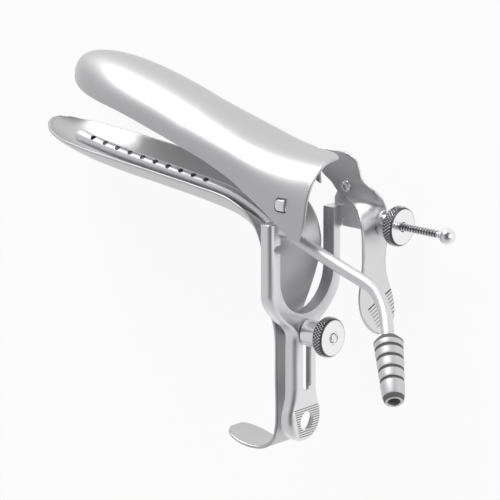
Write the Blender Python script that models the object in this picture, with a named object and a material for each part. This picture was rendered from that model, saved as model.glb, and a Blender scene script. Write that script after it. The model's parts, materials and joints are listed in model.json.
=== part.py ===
# Vaginal speculum with a smoke tube: two hinged blades, a slotted yoke, two nuts.
#
# It is modelled in the instrument's own frame and then laid on its far side:
# +X towards the operator, +Y the far side, +Z up, the hinge line through the origin.
import bmesh
import bpy
import numpy as np
from math import cos, hypot, pi, radians, sin
from mathutils import Matrix, Vector

# Driving dimensions, in metres
SHEET = 0.0012
FIT = 0.0003

# Mesh rows and columns of the lofted sheets, and rows and sides of the tube
BLADE_ROWS = 52
BLADE_COLUMNS = 15
ARCH_ROWS = 23
ARCH_COLUMNS = 23
LEVER_LINES = 36
TUBE_ROWS = 48
TUBE_SIDES = 12

# The posterior blade: spine places (x, z), half widths and edge lifts
LOWER_SPINE = [
    (-0.1398, 0.0112, 0.0020, 0.0003), (-0.1388, 0.0092, 0.0068, 0.0016),
    (-0.1346, 0.0054, 0.0117, 0.0038), (-0.1262, 0.0014, 0.0153, 0.0060),
    (-0.1120, -0.0024, 0.0172, 0.0082), (-0.0940, -0.0051, 0.0176, 0.0093),
    (-0.0730, -0.0073, 0.0177, 0.0096), (-0.0500, -0.0100, 0.0180, 0.0102),
    (-0.0320, -0.0135, 0.0183, 0.0112), (-0.0225, -0.0180, 0.0186, 0.0102),
    (-0.0165, -0.0245, 0.0186, 0.0062), (-0.0143, -0.0330, 0.0172, 0.0030),
    (-0.0140, -0.0430, 0.0140, 0.0014), (-0.0140, -0.0520, 0.0100, 0.0004),
    (-0.0140, -0.0600, 0.0074, 0.0), (-0.0140, -0.0790, 0.0070, 0.0),
    (-0.0140, -0.0990, 0.0070, 0.0), (-0.0154, -0.1052, 0.0074, 0.0),
    (-0.0200, -0.1088, 0.0082, 0.0), (-0.0280, -0.1093, 0.0090, 0.0),
    (-0.0350, -0.1076, 0.0088, 0.0), (-0.0395, -0.1060, 0.0066, 0.0),
    (-0.0416, -0.1051, 0.0032, 0.0),
]

# The anterior blade: station x, half width, edge height, crest height
SKIRT_HALF = 0.0218
UPPER_STATIONS = [
    (-0.1238, 0.0024, 0.0366, 0.0380), (-0.1225, 0.0066, 0.0335, 0.0404),
    (-0.1184, 0.0107, 0.0309, 0.0423), (-0.1110, 0.0144, 0.0286, 0.0433),
    (-0.1010, 0.0172, 0.0270, 0.0428), (-0.0880, 0.0186, 0.0247, 0.0405),
    (-0.0700, 0.0190, 0.0199, 0.0360), (-0.0550, 0.0191, 0.0156, 0.0312),
    (-0.0400, 0.0194, 0.0111, 0.0264), (-0.0280, 0.0199, 0.0066, 0.0228),
    (-0.0180, 0.0206, 0.0014, 0.0204), (-0.0090, 0.0212, -0.0034, 0.0190),
    (-0.0010, 0.0216, -0.0083, 0.0182), (0.0060, SKIRT_HALF, -0.0125, 0.0179),
    (0.0120, SKIRT_HALF, -0.0137, 0.0178), (0.0150, SKIRT_HALF, -0.0140, 0.0178),
]
RIM_X = 0.0135
RIM_CORNER_X = 0.0106
FAR_RIM_X = -0.0130
BLADE_BASE_X = -0.0280
BASE_SQUARENESS = 2.5

# The thumb lever: rows of height, left end (x, y) and right end (x, y)
LEVER_Y = 0.0222
LEVER_ROWS = [
    (0.0142, -0.0160, LEVER_Y, -0.0010, LEVER_Y), (0.0120, -0.0172, LEVER_Y, 0.0042, LEVER_Y),
    (0.0080, -0.0168, LEVER_Y, 0.0066, LEVER_Y), (0.0034, -0.0130, LEVER_Y, 0.0084, LEVER_Y),
    (0.0004, -0.0085, LEVER_Y, 0.0140, LEVER_Y), (-0.0024, -0.0058, LEVER_Y, 0.0160, 0.0244),
    (-0.0056, -0.0010, LEVER_Y, 0.0163, 0.0266), (-0.0086, 0.0064, 0.0200, 0.0160, 0.0283),
    (-0.0120, 0.0126, 0.0150, 0.0157, 0.0290), (-0.0160, 0.0150, 0.0132, 0.0155, 0.0292),
    (-0.0210, 0.0152, 0.0134, 0.0152, 0.0294), (-0.0300, 0.0152, 0.0134, 0.0152, 0.0280),
    (-0.0370, 0.0152, 0.0122, 0.0152, 0.0292), (-0.0430, 0.0154, 0.0110, 0.0154, 0.0316),
    (-0.0490, 0.0158, 0.0114, 0.0158, 0.0330), (-0.0540, 0.0164, 0.0134, 0.0164, 0.0326),
    (-0.0580, 0.0171, 0.0170, 0.0171, 0.0300), (-0.0600, 0.0176, 0.0210, 0.0176, 0.0264),
]
LEVER_TWIST_Z = -0.0120
LEVER_TWIST_LONG = 0.0040
LEVER_HOLE_LONG = 0.0110
LEVER_HOLE_WIDE = 0.0050

# The yoke: a pressed fork with a slotted shank and a finger pad
YOKE_FRONT = -0.0030
YOKE_DEPTH = 0.0056
YOKE_WALL = 0.0013
YOKE_ROLL = 0.0026
ARM_IN = 0.0170
ARM_OUT = 0.0230
ARM_TOP = -0.0088
FORK_CENTRE_Z = -0.0330
SHOULDER_Z = -0.0400
SHANK_HALF = 0.0073
SHANK_TOP_Z = -0.0590
PAD_HALF = 0.0100
PAD_Z = -0.0950
SLOT_WIDE = 0.0052
SLOT_BOTTOM = -0.0830
PAD_HOLE_D = 0.0080
PAD_HOLE_Z = -0.0962
NOTCH_Z = -0.0195
NOTCH_D = 0.0032
NOTCH_LONG = 0.0040

# Hinge pieces
NEAR_EAR_Y = -0.0187
FAR_EAR_Y = 0.0241
EAR_HALF = 0.0046
PIVOT_D = 0.0034
RIVET_HEAD_D = 0.0046
TONGUE_SLOT = 0.0060

# The opening screw, its collar, its nut and its pin
SCREW_Y = 0.0268
SCREW_Z = -0.0142
SCREW_PIN_X = -0.0040
SCREW_PIN_D = 0.0020
ROD_D = 0.0036
EYE_D = 0.0056
EYE_THICK = 0.0036
BALL_X = 0.0488
BALL_D = 0.0070
COLLAR_REAR_X = 0.0167
COLLAR_LONG = 0.0040
COLLAR_D = 0.0116
NUT_D = 0.0170
NUT_RIM = 0.0048

# The thumb nut and its stud
STUD_Z = -0.0583
STUD_D = 0.0036
HUB_D = 0.0110
HUB_LONG = 0.0088
GUIDE_LONG = 0.0080

# The smoke tube and its hose barb
TUBE_D = 0.0054
TUBE_WALL = 0.0007
TUBE_ROUTE = [
    (-0.1164, -0.0104, 0.0084), (-0.0980, -0.0112, 0.0055), (-0.0770, -0.0113, 0.0029),
    (-0.0530, -0.0114, 0.0003), (-0.0340, -0.0118, -0.0022), (-0.0180, -0.0128, -0.0068),
    (-0.0040, -0.0140, -0.0126), (0.0120, -0.0140, -0.0180), (0.0300, -0.0140, -0.0240),
    (0.0420, -0.0140, -0.0282), (0.0461, -0.0146, -0.0307), (0.0497, -0.0160, -0.0338),
    (0.0531, -0.0182, -0.0374), (0.0562, -0.0211, -0.0410), (0.0590, -0.0239, -0.0445),
    (0.0617, -0.0266, -0.0477),
]
HOLE_D = 0.0024
HOLE_FACING = (0, -0.50, 0.87)
HOLE_COUNT = 10
HOLE_FIRST_X = -0.1085
HOLE_STEP = 0.0069
BARB_AXIS = Vector((0.54, -0.54, -0.645)).normalized()
BARB_LONG = 0.0310
BARB_TOP_D = 0.0125
BARB_END_D = 0.0090
BARB_BORE_D = 0.0052
BARB_RIDGES = 5
BARB_SOCKET = 0.0050


def clear_scene():
    for obj in list(bpy.data.objects):
        bpy.data.objects.remove(obj)


def steel(name, tone, roughness):
    """Stainless steel: a grey level and how polished it is."""
    material = bpy.data.materials.new(name)
    material.use_nodes = True
    shader = material.node_tree.nodes["Principled BSDF"]
    shader.inputs["Base Color"].default_value = (tone, tone, tone * 1.01, 1)
    shader.inputs["Metallic"].default_value = 1.0
    shader.inputs["Roughness"].default_value = roughness
    return material


def carrier(name, place, parent=None):
    """An empty on a joint axis, which carries one moving body."""
    empty = bpy.data.objects.new(name, None)
    bpy.context.scene.collection.objects.link(empty)
    empty["place"] = tuple(place)
    empty.parent = parent
    start = Vector(parent["place"]) if parent else Vector((0, 0, 0))
    empty.location = Vector(place) - start
    return empty


def finish(bm, name, parent, material, smooth=35):
    """A mesh in instrument coordinates becomes an object under its carrier."""
    bmesh.ops.recalc_face_normals(bm, faces=bm.faces[:])
    mesh = bpy.data.meshes.new(name)
    bm.to_mesh(mesh)
    bm.free()
    mesh.transform(Matrix.Translation(-Vector(parent["place"])))
    mesh.shade_smooth()
    mesh.set_sharp_from_angle(angle=radians(smooth))
    obj = bpy.data.objects.new(name, mesh)
    obj.parent = parent
    if material:
        mesh.materials.append(material)
    bpy.context.scene.collection.objects.link(obj)
    return obj


def helper(obj):
    obj.hide_render = True
    obj.display_type = "WIRE"
    return obj


def boolean(target, other, operation="DIFFERENCE"):
    """Cuts a helper from an object, or joins it on."""
    modifier = target.modifiers.new(other.name, "BOOLEAN")
    modifier.operation = operation
    modifier.solver = "EXACT"
    modifier.object = helper(other)


def stitch(bm, first, second, closed=False):
    """Faces between two rows of vertices."""
    count = len(first)
    for i in range(count if closed else count - 1):
        j = (i + 1) % count
        bm.faces.new((first[i], first[j], second[j], second[i]))


def sheet(middle, thickness):
    """A bent sheet of even thickness around a grid of middle points."""
    along = np.gradient(middle, axis=0)
    across = np.gradient(middle, axis=1)
    normal = np.cross(along, across)
    normal /= np.linalg.norm(normal, axis=2, keepdims=True)
    bm = bmesh.new()
    sides = []
    for sign in (1, -1):
        points = middle + sign * thickness / 2 * normal
        sides.append([[bm.verts.new(p) for p in row] for row in points])
    outer, inner = sides
    for i in range(len(outer) - 1):
        stitch(bm, outer[i], outer[i + 1])
        stitch(bm, inner[i + 1], inner[i])
        bm.faces.new((outer[i][0], outer[i + 1][0], inner[i + 1][0], inner[i][0]))
        bm.faces.new((outer[i + 1][-1], outer[i][-1], inner[i][-1], inner[i + 1][-1]))
    stitch(bm, inner[0], outer[0])
    stitch(bm, outer[-1], inner[-1])
    return bm


def prism(outline, axis, low, high):
    """A flat outline, pushed from low to high along an axis."""
    index = "xyz".index(axis)
    bm = bmesh.new()
    rings = []
    for level in (low, high):
        ring = []
        for a, b in outline:
            point = [a, b]
            point.insert(index, level)
            ring.append(bm.verts.new(point))
        rings.append(ring)
    stitch(bm, rings[0], rings[1], closed=True)
    bm.faces.new(rings[0])
    bm.faces.new(rings[1])
    return bm


def turned(profile, start, direction, sides=32):
    """A profile of (distance along, radius) points, turned about an axis."""
    turn = Vector((0, 0, 1)).rotation_difference(Vector(direction)).to_matrix()
    bm = bmesh.new()
    rings = []
    for along, radius in profile:
        ring = []
        for k in range(sides):
            angle = 2 * pi * k / sides
            local = Vector((radius * cos(angle), radius * sin(angle), along))
            ring.append(bm.verts.new(Vector(start) + turn @ local))
        rings.append(ring)
    for first, second in zip(rings, rings[1:]):
        stitch(bm, first, second, closed=True)
    return bm, rings


def solid_turned(profile, start, direction, sides=32):
    bm, rings = turned(profile, start, direction, sides)
    bm.faces.new(rings[0])
    bm.faces.new(rings[-1])
    return bm


def ring_turned(profile, start, direction, sides=32):
    """A closed profile turned about an axis, with a bore through it."""
    bm, rings = turned(profile, start, direction, sides)
    stitch(bm, rings[-1], rings[0], closed=True)
    return bm


def arc(centre, radius, first, last, steps):
    """Points of an arc, angles in degrees."""
    angles = [radians(first + (last - first) * i / steps) for i in range(steps + 1)]
    return [(centre[0] + radius * cos(t), centre[1] + radius * sin(t)) for t in angles]


def smooth_rows(rows, count):
    """Rows of values, read again at even steps along a smooth curve through them."""
    rows = np.array(rows, float)
    steps = np.linalg.norm(np.diff(rows[:, :3], axis=0), axis=1)
    place = np.concatenate([[0], np.cumsum(np.sqrt(steps))])
    slopes = np.gradient(rows, place, axis=0)
    wanted = np.linspace(0, place[-1], count)
    low = np.clip(np.searchsorted(place, wanted, side="right") - 1, 0, len(rows) - 2)
    span = (place[low + 1] - place[low])[:, None]
    t = (wanted - place[low])[:, None] / span
    a, b = rows[low], rows[low + 1]
    m, n = slopes[low] * span, slopes[low + 1] * span
    return (2 * t**3 - 3 * t**2 + 1) * a + (t**3 - 2 * t**2 + t) * m \
        + (3 * t**2 - 2 * t**3) * b + (t**3 - t**2) * n


def posterior_blade(parent, material):
    """One pressing: the trough of the blade, the tapering plate, the handle, the foot."""
    rows = smooth_rows(LOWER_SPINE, BLADE_ROWS)
    spine = rows[:, :2]
    heading = np.gradient(spine, axis=0)
    heading /= np.linalg.norm(heading, axis=1, keepdims=True)
    share = np.linspace(-1, 1, BLADE_COLUMNS)
    middle = np.zeros((len(rows), len(share), 3))
    for i, (x, z, half, lift) in enumerate(rows):
        up = lift * share**2
        middle[i, :, 0] = x - heading[i, 1] * up
        middle[i, :, 1] = half * share
        middle[i, :, 2] = z + heading[i, 0] * up
    return finish(sheet(middle, SHEET), "posterior_blade", parent, material)


def upper_section(x):
    """Half width, edge height and crest height of the anterior blade at x."""
    table = np.array(UPPER_STATIONS)
    return [np.interp(x, table[:, 0], table[:, k]) for k in (1, 2, 3)]


def squareness(x):
    """How square the arch is: an ellipse along the blade, with upright skirts at the base."""
    return 2 + (BASE_SQUARENESS - 2) * min(1.0, max(0.0, (x - BLADE_BASE_X * 2) / -BLADE_BASE_X))


def rim_of(share):
    """Where the blade ends: square on the near side, cut back beyond the crest."""
    near_corner = RIM_X - (RIM_X - RIM_CORNER_X) * max(0.0, (-share - 0.84) / 0.16) ** 2
    cut_back = min(1.0, max(0.0, share / 0.5))
    return near_corner + (FAR_RIM_X - RIM_X) * cut_back


def anterior_blade(parent, material):
    """The arched blade with its near skirt, and a D-shaped slot at the hinge."""
    body = smooth_rows([row for row in UPPER_STATIONS if row[0] <= BLADE_BASE_X], ARCH_ROWS)
    base_steps = 10
    share = np.linspace(-1, 1, ARCH_COLUMNS)
    middle = np.zeros((len(body) + base_steps, len(share), 3))
    for j, s in enumerate(share):
        for i in range(len(middle)):
            if i < len(body):
                x, half, edge, crest = body[i]
            else:
                t = (i - len(body) + 1) / base_steps
                x = BLADE_BASE_X + (rim_of(s) - BLADE_BASE_X) * t
                half, edge, crest = upper_section(x)
            power = 2 / squareness(x)
            across = abs(sin(s * pi / 2)) ** power * (1 if s > 0 else -1)
            middle[i, j] = (x, half * across, edge + (crest - edge) * max(0, cos(s * pi / 2)) ** power)
    blade = finish(sheet(middle, SHEET), "anterior_blade", parent, material)
    half = TONGUE_SLOT / 2
    outline = [(half, -half), (half, half)] + arc((-half / 3, half / 3), half * 2 / 3, 90, 180, 4)
    outline += arc((-half / 3, -half / 3), half * 2 / 3, 180, 270, 4)
    outline = [(a + 0.0010, b + 0.0008) for a, b in outline]
    slot = finish(prism(outline, "y", -0.0260, -0.0150), "hinge_slot", parent, None)
    boolean(blade, slot)
    return blade


def thumb_lever(parent, material):
    """A plate beside the blade that twists to face the operator and ends in a pad."""
    rows = smooth_rows(LEVER_ROWS, LEVER_LINES)
    share = np.linspace(0, 1, 9)[:, None]
    middle = np.zeros((len(rows), len(share), 3))
    for i, (z, xl, yl, xr, yr) in enumerate(rows):
        left, right = np.array([xl, yl, z]), np.array([xr, yr, z])
        middle[i] = left + (right - left) * share
        power = 1 + 2 * min(1.0, max(0.0, (z - LEVER_TWIST_Z) / LEVER_TWIST_LONG))
        middle[i, :, 1] = yl + (yr - yl) * share[:, 0] ** power
    lever = finish(sheet(middle, SHEET), "thumb_lever", parent, material)
    radius = LEVER_HOLE_WIDE / 2
    reach = LEVER_HOLE_LONG / 2 - radius
    outline = arc((SCREW_Y, SCREW_Z + reach), radius, 0, 180, 8)
    outline += arc((SCREW_Y, SCREW_Z - reach), radius, 180, 360, 8)
    boolean(lever, finish(prism(outline, "x", 0.0080, 0.0240), "lever_slot", parent, None))
    hole = solid_turned([(0, PIVOT_D / 2 + FIT), (0.008, PIVOT_D / 2 + FIT)], (0, 0.018, 0), (0, 1, 0), 24)
    boolean(lever, finish(hole, "lever_pivot_hole", parent, None))
    return lever


def yoke_outline(inset=0.0):
    """The fork seen from the operator, as (y, z), drawn inset by a wall if asked."""
    right = [(ARM_IN + inset, ARM_TOP - inset), (ARM_OUT - inset, ARM_TOP - inset)]
    right += [(ARM_OUT - inset, SHOULDER_Z), (0.0212 - inset, -0.0446)]
    right += [(0.0150 - inset, -0.0512), (0.0098 - inset, -0.0552), (SHANK_HALF - inset, SHANK_TOP_Z)]
    right += [(SHANK_HALF - inset, -0.0830), (0.0080 - inset, -0.0874)]
    right += arc((0, PAD_Z), PAD_HALF - inset, 14, -90, 12)
    left = [(-y, z) for y, z in reversed(right[:-1])]
    fork = arc((0, FORK_CENTRE_Z), ARM_IN + inset, 180, 360, 20)
    return right + left + fork


def yoke(parent, material):
    """A pressed fork: rolled outer edge, hollow behind, slotted shank, ears for the hinge."""
    rear = YOKE_FRONT - YOKE_DEPTH
    bm = prism(yoke_outline(), "x", rear, YOKE_FRONT)
    outer = []
    for edge in bm.edges:
        a, b = (vert.co for vert in edge.verts)
        if min(a.x, b.x) < YOKE_FRONT - FIT or max(a.z, b.z) > ARM_TOP - FIT:
            continue
        inside = [hypot(p.y, p.z - FORK_CENTRE_Z) < ARM_IN + FIT for p in (a, b)]
        if not all(inside):
            outer.append(edge)
    bmesh.ops.bevel(bm, geom=outer, offset=YOKE_ROLL, segments=3, profile=0.5, affect="EDGES")
    fork = finish(bm, "yoke", parent, material)
    hollow = prism(yoke_outline(YOKE_WALL), "x", rear - 0.001, YOKE_FRONT - YOKE_ROLL)
    boolean(fork, finish(hollow, "yoke_hollow", parent, None))
    near_ear = [(-EAR_HALF, ARM_TOP - 0.004), (0.0010, ARM_TOP - 0.004), (EAR_HALF, 0.0)]
    near_ear += arc((0, 0), EAR_HALF, 10, 170, 10) + [(-EAR_HALF, 0.0)]
    ear = prism(near_ear, "y", NEAR_EAR_Y - SHEET / 2, NEAR_EAR_Y + SHEET / 2)
    boolean(fork, finish(ear, "near_ear", parent, None), "UNION")
    low = SCREW_Z - 0.0036
    far_ear = [(-0.0080, low), (0.0062, low), (0.0062, -0.0060), (EAR_HALF, 0.0)]
    far_ear += arc((0, 0), EAR_HALF, 10, 170, 10) + [(-0.0080, -0.0060)]
    ear = prism(far_ear, "y", FAR_EAR_Y - SHEET / 2, FAR_EAR_Y + SHEET / 2)
    boolean(fork, finish(ear, "far_ear", parent, None), "UNION")
    root = [(-0.0080, low), (YOKE_FRONT - 0.0004, low)]
    root += [(YOKE_FRONT - 0.0004, ARM_TOP - FIT), (-0.0080, ARM_TOP - FIT)]
    seat = prism(root, "y", ARM_OUT - YOKE_ROLL - 0.001, FAR_EAR_Y)
    boolean(fork, finish(seat, "far_ear_root", parent, None), "UNION")
    radius = SLOT_WIDE / 2
    outline = arc((0, STUD_Z + radius), radius, 0, 180, 10)
    outline += arc((0, SLOT_BOTTOM + radius), radius, 180, 360, 10)
    boolean(fork, finish(prism(outline, "x", rear - 0.002, 0.002), "shank_slot", parent, None))
    hole = arc((0, PAD_HOLE_Z), PAD_HOLE_D / 2, 0, 345, 23)
    boolean(fork, finish(prism(hole, "x", rear - 0.002, 0.002), "pad_hole", parent, None))
    radius = NOTCH_D / 2
    notch = arc((-ARM_IN - NOTCH_LONG + radius, NOTCH_Z), radius, 90, 270, 8)
    notch += [(-ARM_IN + 0.002, NOTCH_Z - radius), (-ARM_IN + 0.002, NOTCH_Z + radius)]
    boolean(fork, finish(prism(notch, "x", rear - 0.002, 0.002), "arm_notch", parent, None))
    bore = PIVOT_D / 2 + FIT
    for name, y in (("near_bore", NEAR_EAR_Y), ("far_bore", FAR_EAR_Y)):
        drill = solid_turned([(-0.002, bore), (0.002, bore)], (0, y, 0), (0, 1, 0), 24)
        boolean(fork, finish(drill, name, parent, None))
    bore = SCREW_PIN_D / 2 + FIT
    drill = solid_turned([(-0.004, bore), (0.002, bore)], (SCREW_PIN_X, FAR_EAR_Y, SCREW_Z), (0, 1, 0), 20)
    boolean(fork, finish(drill, "screw_pin_bore", parent, None))
    return fork


def headed_pin(name, parent, material, centre, start, end, shank, head, rise, both=False):
    """A pin along Y with a low domed head at its start, and one at its end if asked."""
    profile = [(start - rise, head * 0.30), (start - rise * 0.6, head * 0.44)]
    profile += [(start, head / 2), (start, shank / 2), (end, shank / 2)]
    if both:
        profile += [(end, head / 2), (end + rise * 0.6, head * 0.44), (end + rise, head * 0.30)]
    x, z = centre
    return finish(solid_turned(profile, (x, 0, z), (0, 1, 0), 24), name, parent, material)


def hinge_pins(parent, material):
    """The near hinge stud, which shows through the D-shaped slot, and the far rivet."""
    outside = -SKIRT_HALF - SHEET / 2
    inside = NEAR_EAR_Y + SHEET / 2 + FIT
    profile = [(outside - 0.0004, PIVOT_D * 0.36), (outside, PIVOT_D / 2)]
    profile += [(inside, PIVOT_D / 2), (inside, RIVET_HEAD_D / 2)]
    profile += [(inside + 0.0004, RIVET_HEAD_D * 0.45), (inside + 0.0007, RIVET_HEAD_D * 0.3)]
    finish(solid_turned(profile, (0, 0, 0), (0, 1, 0), 24), "near_hinge_stud", parent, material)
    start = LEVER_Y - SHEET / 2 - FIT
    end = FAR_EAR_Y + SHEET / 2 + FIT
    headed_pin("far_hinge_rivet", parent, material, (0, 0), start, end, PIVOT_D, RIVET_HEAD_D, 0.0008, True)


def screw_pin(parent, material):
    start = FAR_EAR_Y - SHEET / 2 - FIT
    end = SCREW_Y + EYE_THICK / 2 + FIT
    centre = (SCREW_PIN_X, SCREW_Z)
    profile = [(start, SCREW_PIN_D / 2), (end, SCREW_PIN_D / 2), (end, SCREW_PIN_D * 0.8)]
    profile += [(end + 0.0005, SCREW_PIN_D * 0.7), (end + 0.0008, SCREW_PIN_D * 0.4)]
    finish(solid_turned(profile, (centre[0], 0, centre[1]), (0, 1, 0), 24), "screw_pin", parent, material)


def opening_screw(parent, material):
    """The rod: a flat eye on the pin, a plain shank for the thread, a ball as its stop."""
    radius = ROD_D / 2
    ball = BALL_D / 2
    neck = (ball**2 - radius**2) ** 0.5
    profile = [(EYE_D * 0.3, radius * 0.7), (EYE_D * 0.55, radius)]
    profile += [(BALL_X - SCREW_PIN_X - neck, radius)]
    for k in range(1, 9):
        angle = pi - (pi - 0.35) * k / 9 - 0.5 * (1 - k / 9)
        profile.append((BALL_X - SCREW_PIN_X + ball * cos(angle), ball * sin(angle)))
    profile.append((BALL_X - SCREW_PIN_X + ball * 0.985, ball * 0.17))
    rod = solid_turned(profile, (SCREW_PIN_X, SCREW_Y, SCREW_Z), (1, 0, 0), 24)
    screw = finish(rod, "opening_screw", parent, material)
    low, high = SCREW_Y - EYE_THICK / 2, SCREW_Y + EYE_THICK / 2
    start = (SCREW_PIN_X, low, SCREW_Z)
    eye = solid_turned([(0, EYE_D / 2), (high - low, EYE_D / 2)], start, (0, 1, 0), 28)
    boolean(screw, finish(eye, "screw_eye", parent, None), "UNION")
    bore = SCREW_PIN_D / 2 + FIT
    start = (SCREW_PIN_X, low - 0.002, SCREW_Z)
    drill = solid_turned([(0, bore), (0.008, bore)], start, (0, 1, 0), 20)
    boolean(screw, finish(drill, "screw_eye_bore", parent, None))
    return screw


def bored_disc(name, parent, material, start, length, outer, bore, chamfer=0.0004, sides=48):
    """A turned disc on an axis along X, with chamfered edges and a bore."""
    profile = [(0, bore), (0, outer - chamfer), (chamfer, outer)]
    profile += [(length - chamfer, outer), (length, outer - chamfer), (length, bore)]
    return finish(ring_turned(profile, start, (1, 0, 0), sides), name, parent, material)


def opening_nut(collar_parent, nut_parent, material, knurl):
    """The collar that bears on the lever, and the knurled nut that drives it."""
    bore = ROD_D / 2 + FIT
    start = (COLLAR_REAR_X, SCREW_Y, SCREW_Z)
    bored_disc("opening_collar", collar_parent, material, start, COLLAR_LONG, COLLAR_D / 2, bore, sides=32)
    start = (COLLAR_REAR_X + COLLAR_LONG + FIT, SCREW_Y, SCREW_Z)
    bored_disc("opening_nut", nut_parent, knurl, start, NUT_RIM, NUT_D / 2, bore)


def thumb_nut(root, nut_parent, material, knurl):
    """The stud on the handle, its square guide, and the knurled nut with its hub."""
    handle_front = -0.0140 + SHEET / 2 + FIT
    shank_front = YOKE_FRONT + FIT
    face = shank_front + HUB_LONG + NUT_RIM
    profile = [(handle_front, STUD_D / 2), (face, STUD_D / 2), (face + 0.0006, STUD_D * 0.38)]
    stud = finish(solid_turned(profile, (0, 0, STUD_Z), (1, 0, 0), 24), "handle_stud", root, material)
    half = SLOT_WIDE / 2 - FIT
    guide = [(-half, STUD_Z - half), (half, STUD_Z - half), (half, STUD_Z + half), (-half, STUD_Z + half)]
    block = prism(guide, "x", handle_front, handle_front + GUIDE_LONG)
    boolean(stud, finish(block, "stud_guide", root, None), "UNION")
    bore = STUD_D / 2 + FIT
    rise = 0.0004
    profile = [(0, bore), (0, HUB_D / 2 - rise), (rise, HUB_D / 2), (HUB_LONG, HUB_D / 2)]
    profile += [(HUB_LONG, NUT_D / 2 - rise), (HUB_LONG + rise, NUT_D / 2)]
    profile += [(HUB_LONG + NUT_RIM - rise, NUT_D / 2), (HUB_LONG + NUT_RIM, NUT_D / 2 - rise)]
    profile += [(HUB_LONG + NUT_RIM, bore)]
    start = (shank_front, 0, STUD_Z)
    finish(ring_turned(profile, start, (1, 0, 0), 48), "thumb_nut", nut_parent, knurl)


def smoke_tube(parent, material):
    """A bent tube with a closed round end, a bore and a row of intake holes."""
    centre = smooth_rows(TUBE_ROUTE, TUBE_ROWS)
    heading = np.gradient(centre, axis=0)
    heading /= np.linalg.norm(heading, axis=1, keepdims=True)
    side = np.cross(heading, (0, 1, 0))
    side /= np.linalg.norm(side, axis=1, keepdims=True)
    other = np.cross(heading, side)
    outer = TUBE_D / 2
    inner = outer - TUBE_WALL
    bm = bmesh.new()

    def ring(middle, radius, i):
        row = []
        for k in range(TUBE_SIDES):
            angle = 2 * pi * k / TUBE_SIDES
            offset = radius * (cos(angle) * side[i] + sin(angle) * other[i])
            row.append(bm.verts.new(middle + offset))
        return row

    shells = []
    for radius in (outer, inner):
        rows = [ring(centre[0] - heading[0] * radius * cos(t), radius * sin(t), 0)
                for t in (0.3, 0.75, 1.15)]
        rows += [ring(centre[i], radius, i) for i in range(len(centre))]
        for first, second in zip(rows, rows[1:]):
            stitch(bm, first, second, closed=True)
        bm.faces.new(rows[0])
        shells.append(rows)
    stitch(bm, shells[0][-1], shells[1][-1], closed=True)
    tube = finish(bm, "smoke_tube", parent, material)
    for k in range(HOLE_COUNT):
        x = HOLE_FIRST_X + HOLE_STEP * k
        near = centre[np.argmin(abs(centre[:, 0] - x))]
        start = (x, near[1], near[2])
        drill = solid_turned([(0, HOLE_D / 2), (0.006, HOLE_D / 2)], start, HOLE_FACING, 12)
        boolean(tube, finish(drill, "intake_%02d" % (k + 1), parent, None))
    return tube


def hose_barb(parent, material):
    """The ridged end that a suction hose is pushed on to."""
    end = Vector(TUBE_ROUTE[-1])
    start = end - BARB_AXIS * BARB_SOCKET
    step = BARB_LONG / BARB_RIDGES
    profile = [(0, TUBE_D / 2 + FIT), (0, BARB_TOP_D * 0.30), (0.0012, BARB_TOP_D * 0.44)]
    for k in range(BARB_RIDGES):
        crest = (BARB_TOP_D + (BARB_END_D - BARB_TOP_D) * (k + 0.2) / BARB_RIDGES) / 2
        foot = crest * 0.93
        profile += [(k * step + 0.0022, crest), (k * step + step * 0.80, foot)]
        if k < BARB_RIDGES - 1:
            profile += [(k * step + step * 0.90, foot * 0.90), (k * step + step * 0.98, foot * 0.90)]
    profile += [(BARB_LONG - 0.0004, BARB_END_D * 0.44), (BARB_LONG, BARB_END_D * 0.40)]
    profile += [(BARB_LONG, BARB_BORE_D / 2), (BARB_SOCKET + FIT, BARB_BORE_D / 2 - TUBE_WALL)]
    profile += [(BARB_SOCKET + FIT, TUBE_D / 2 + FIT)]
    return finish(ring_turned(profile, start, BARB_AXIS, 28), "hose_barb", parent, material)


def shown_triangles():
    """Corner points of every visible triangle, in world space."""
    graph = bpy.context.evaluated_depsgraph_get()
    corners = []
    for obj in bpy.data.objects:
        if obj.type != "MESH" or obj.hide_render:
            continue
        evaluated = obj.evaluated_get(graph)
        mesh = evaluated.to_mesh()
        mesh.calc_loop_triangles()
        place = [evaluated.matrix_world @ vert.co for vert in mesh.vertices]
        corners += [[place[k] for k in face.vertices] for face in mesh.loop_triangles]
        evaluated.to_mesh_clear()
    return np.array(corners)


def resting_normal(corners):
    """The outward normal of the hull face, on the far side, that holds the centre of mass."""
    parts = np.einsum("ij,ij->i", corners[:, 0], np.cross(corners[:, 1], corners[:, 2]))
    centre = (corners.mean(axis=1) * parts[:, None]).sum(axis=0) * 0.75 / parts.sum()
    bm = bmesh.new()
    for point in np.unique(corners.reshape(-1, 3).round(6), axis=0):
        bm.verts.new(point)
    bmesh.ops.convex_hull(bm, input=bm.verts[:])
    best = None
    for face in bm.faces:
        a, b, c = (vert.co for vert in face.verts[:3])
        normal = (b - a).cross(c - a).normalized()
        if normal.dot(a - Vector(centre)) < 0:
            normal.negate()
        if normal.y < 0.8:
            continue
        foot = Vector(centre) + normal * normal.dot(a - Vector(centre))
        turns = [(q - p).cross(foot - p).dot(normal) for p, q in ((a, b), (b, c), (c, a))]
        if min(turns) >= 0 or max(turns) <= 0:
            best = normal
    bm.free()
    return best


def lay_down(frame):
    """Turns the instrument to lie on its far side, with the origin under its middle."""
    bpy.context.view_layer.update()
    down = resting_normal(shown_triangles())
    forward = (Vector((1, 0, 0)) - down * down.x).normalized()
    left = (-down).cross(forward)
    frame.rotation_euler = Matrix((forward, left, -down)).to_euler()
    bpy.context.view_layer.update()
    corners = shown_triangles().reshape(-1, 3)
    low, high = corners.min(axis=0), corners.max(axis=0)
    frame.location = (-(low[0] + high[0]) / 2, -(low[1] + high[1]) / 2, -low[2])


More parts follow.
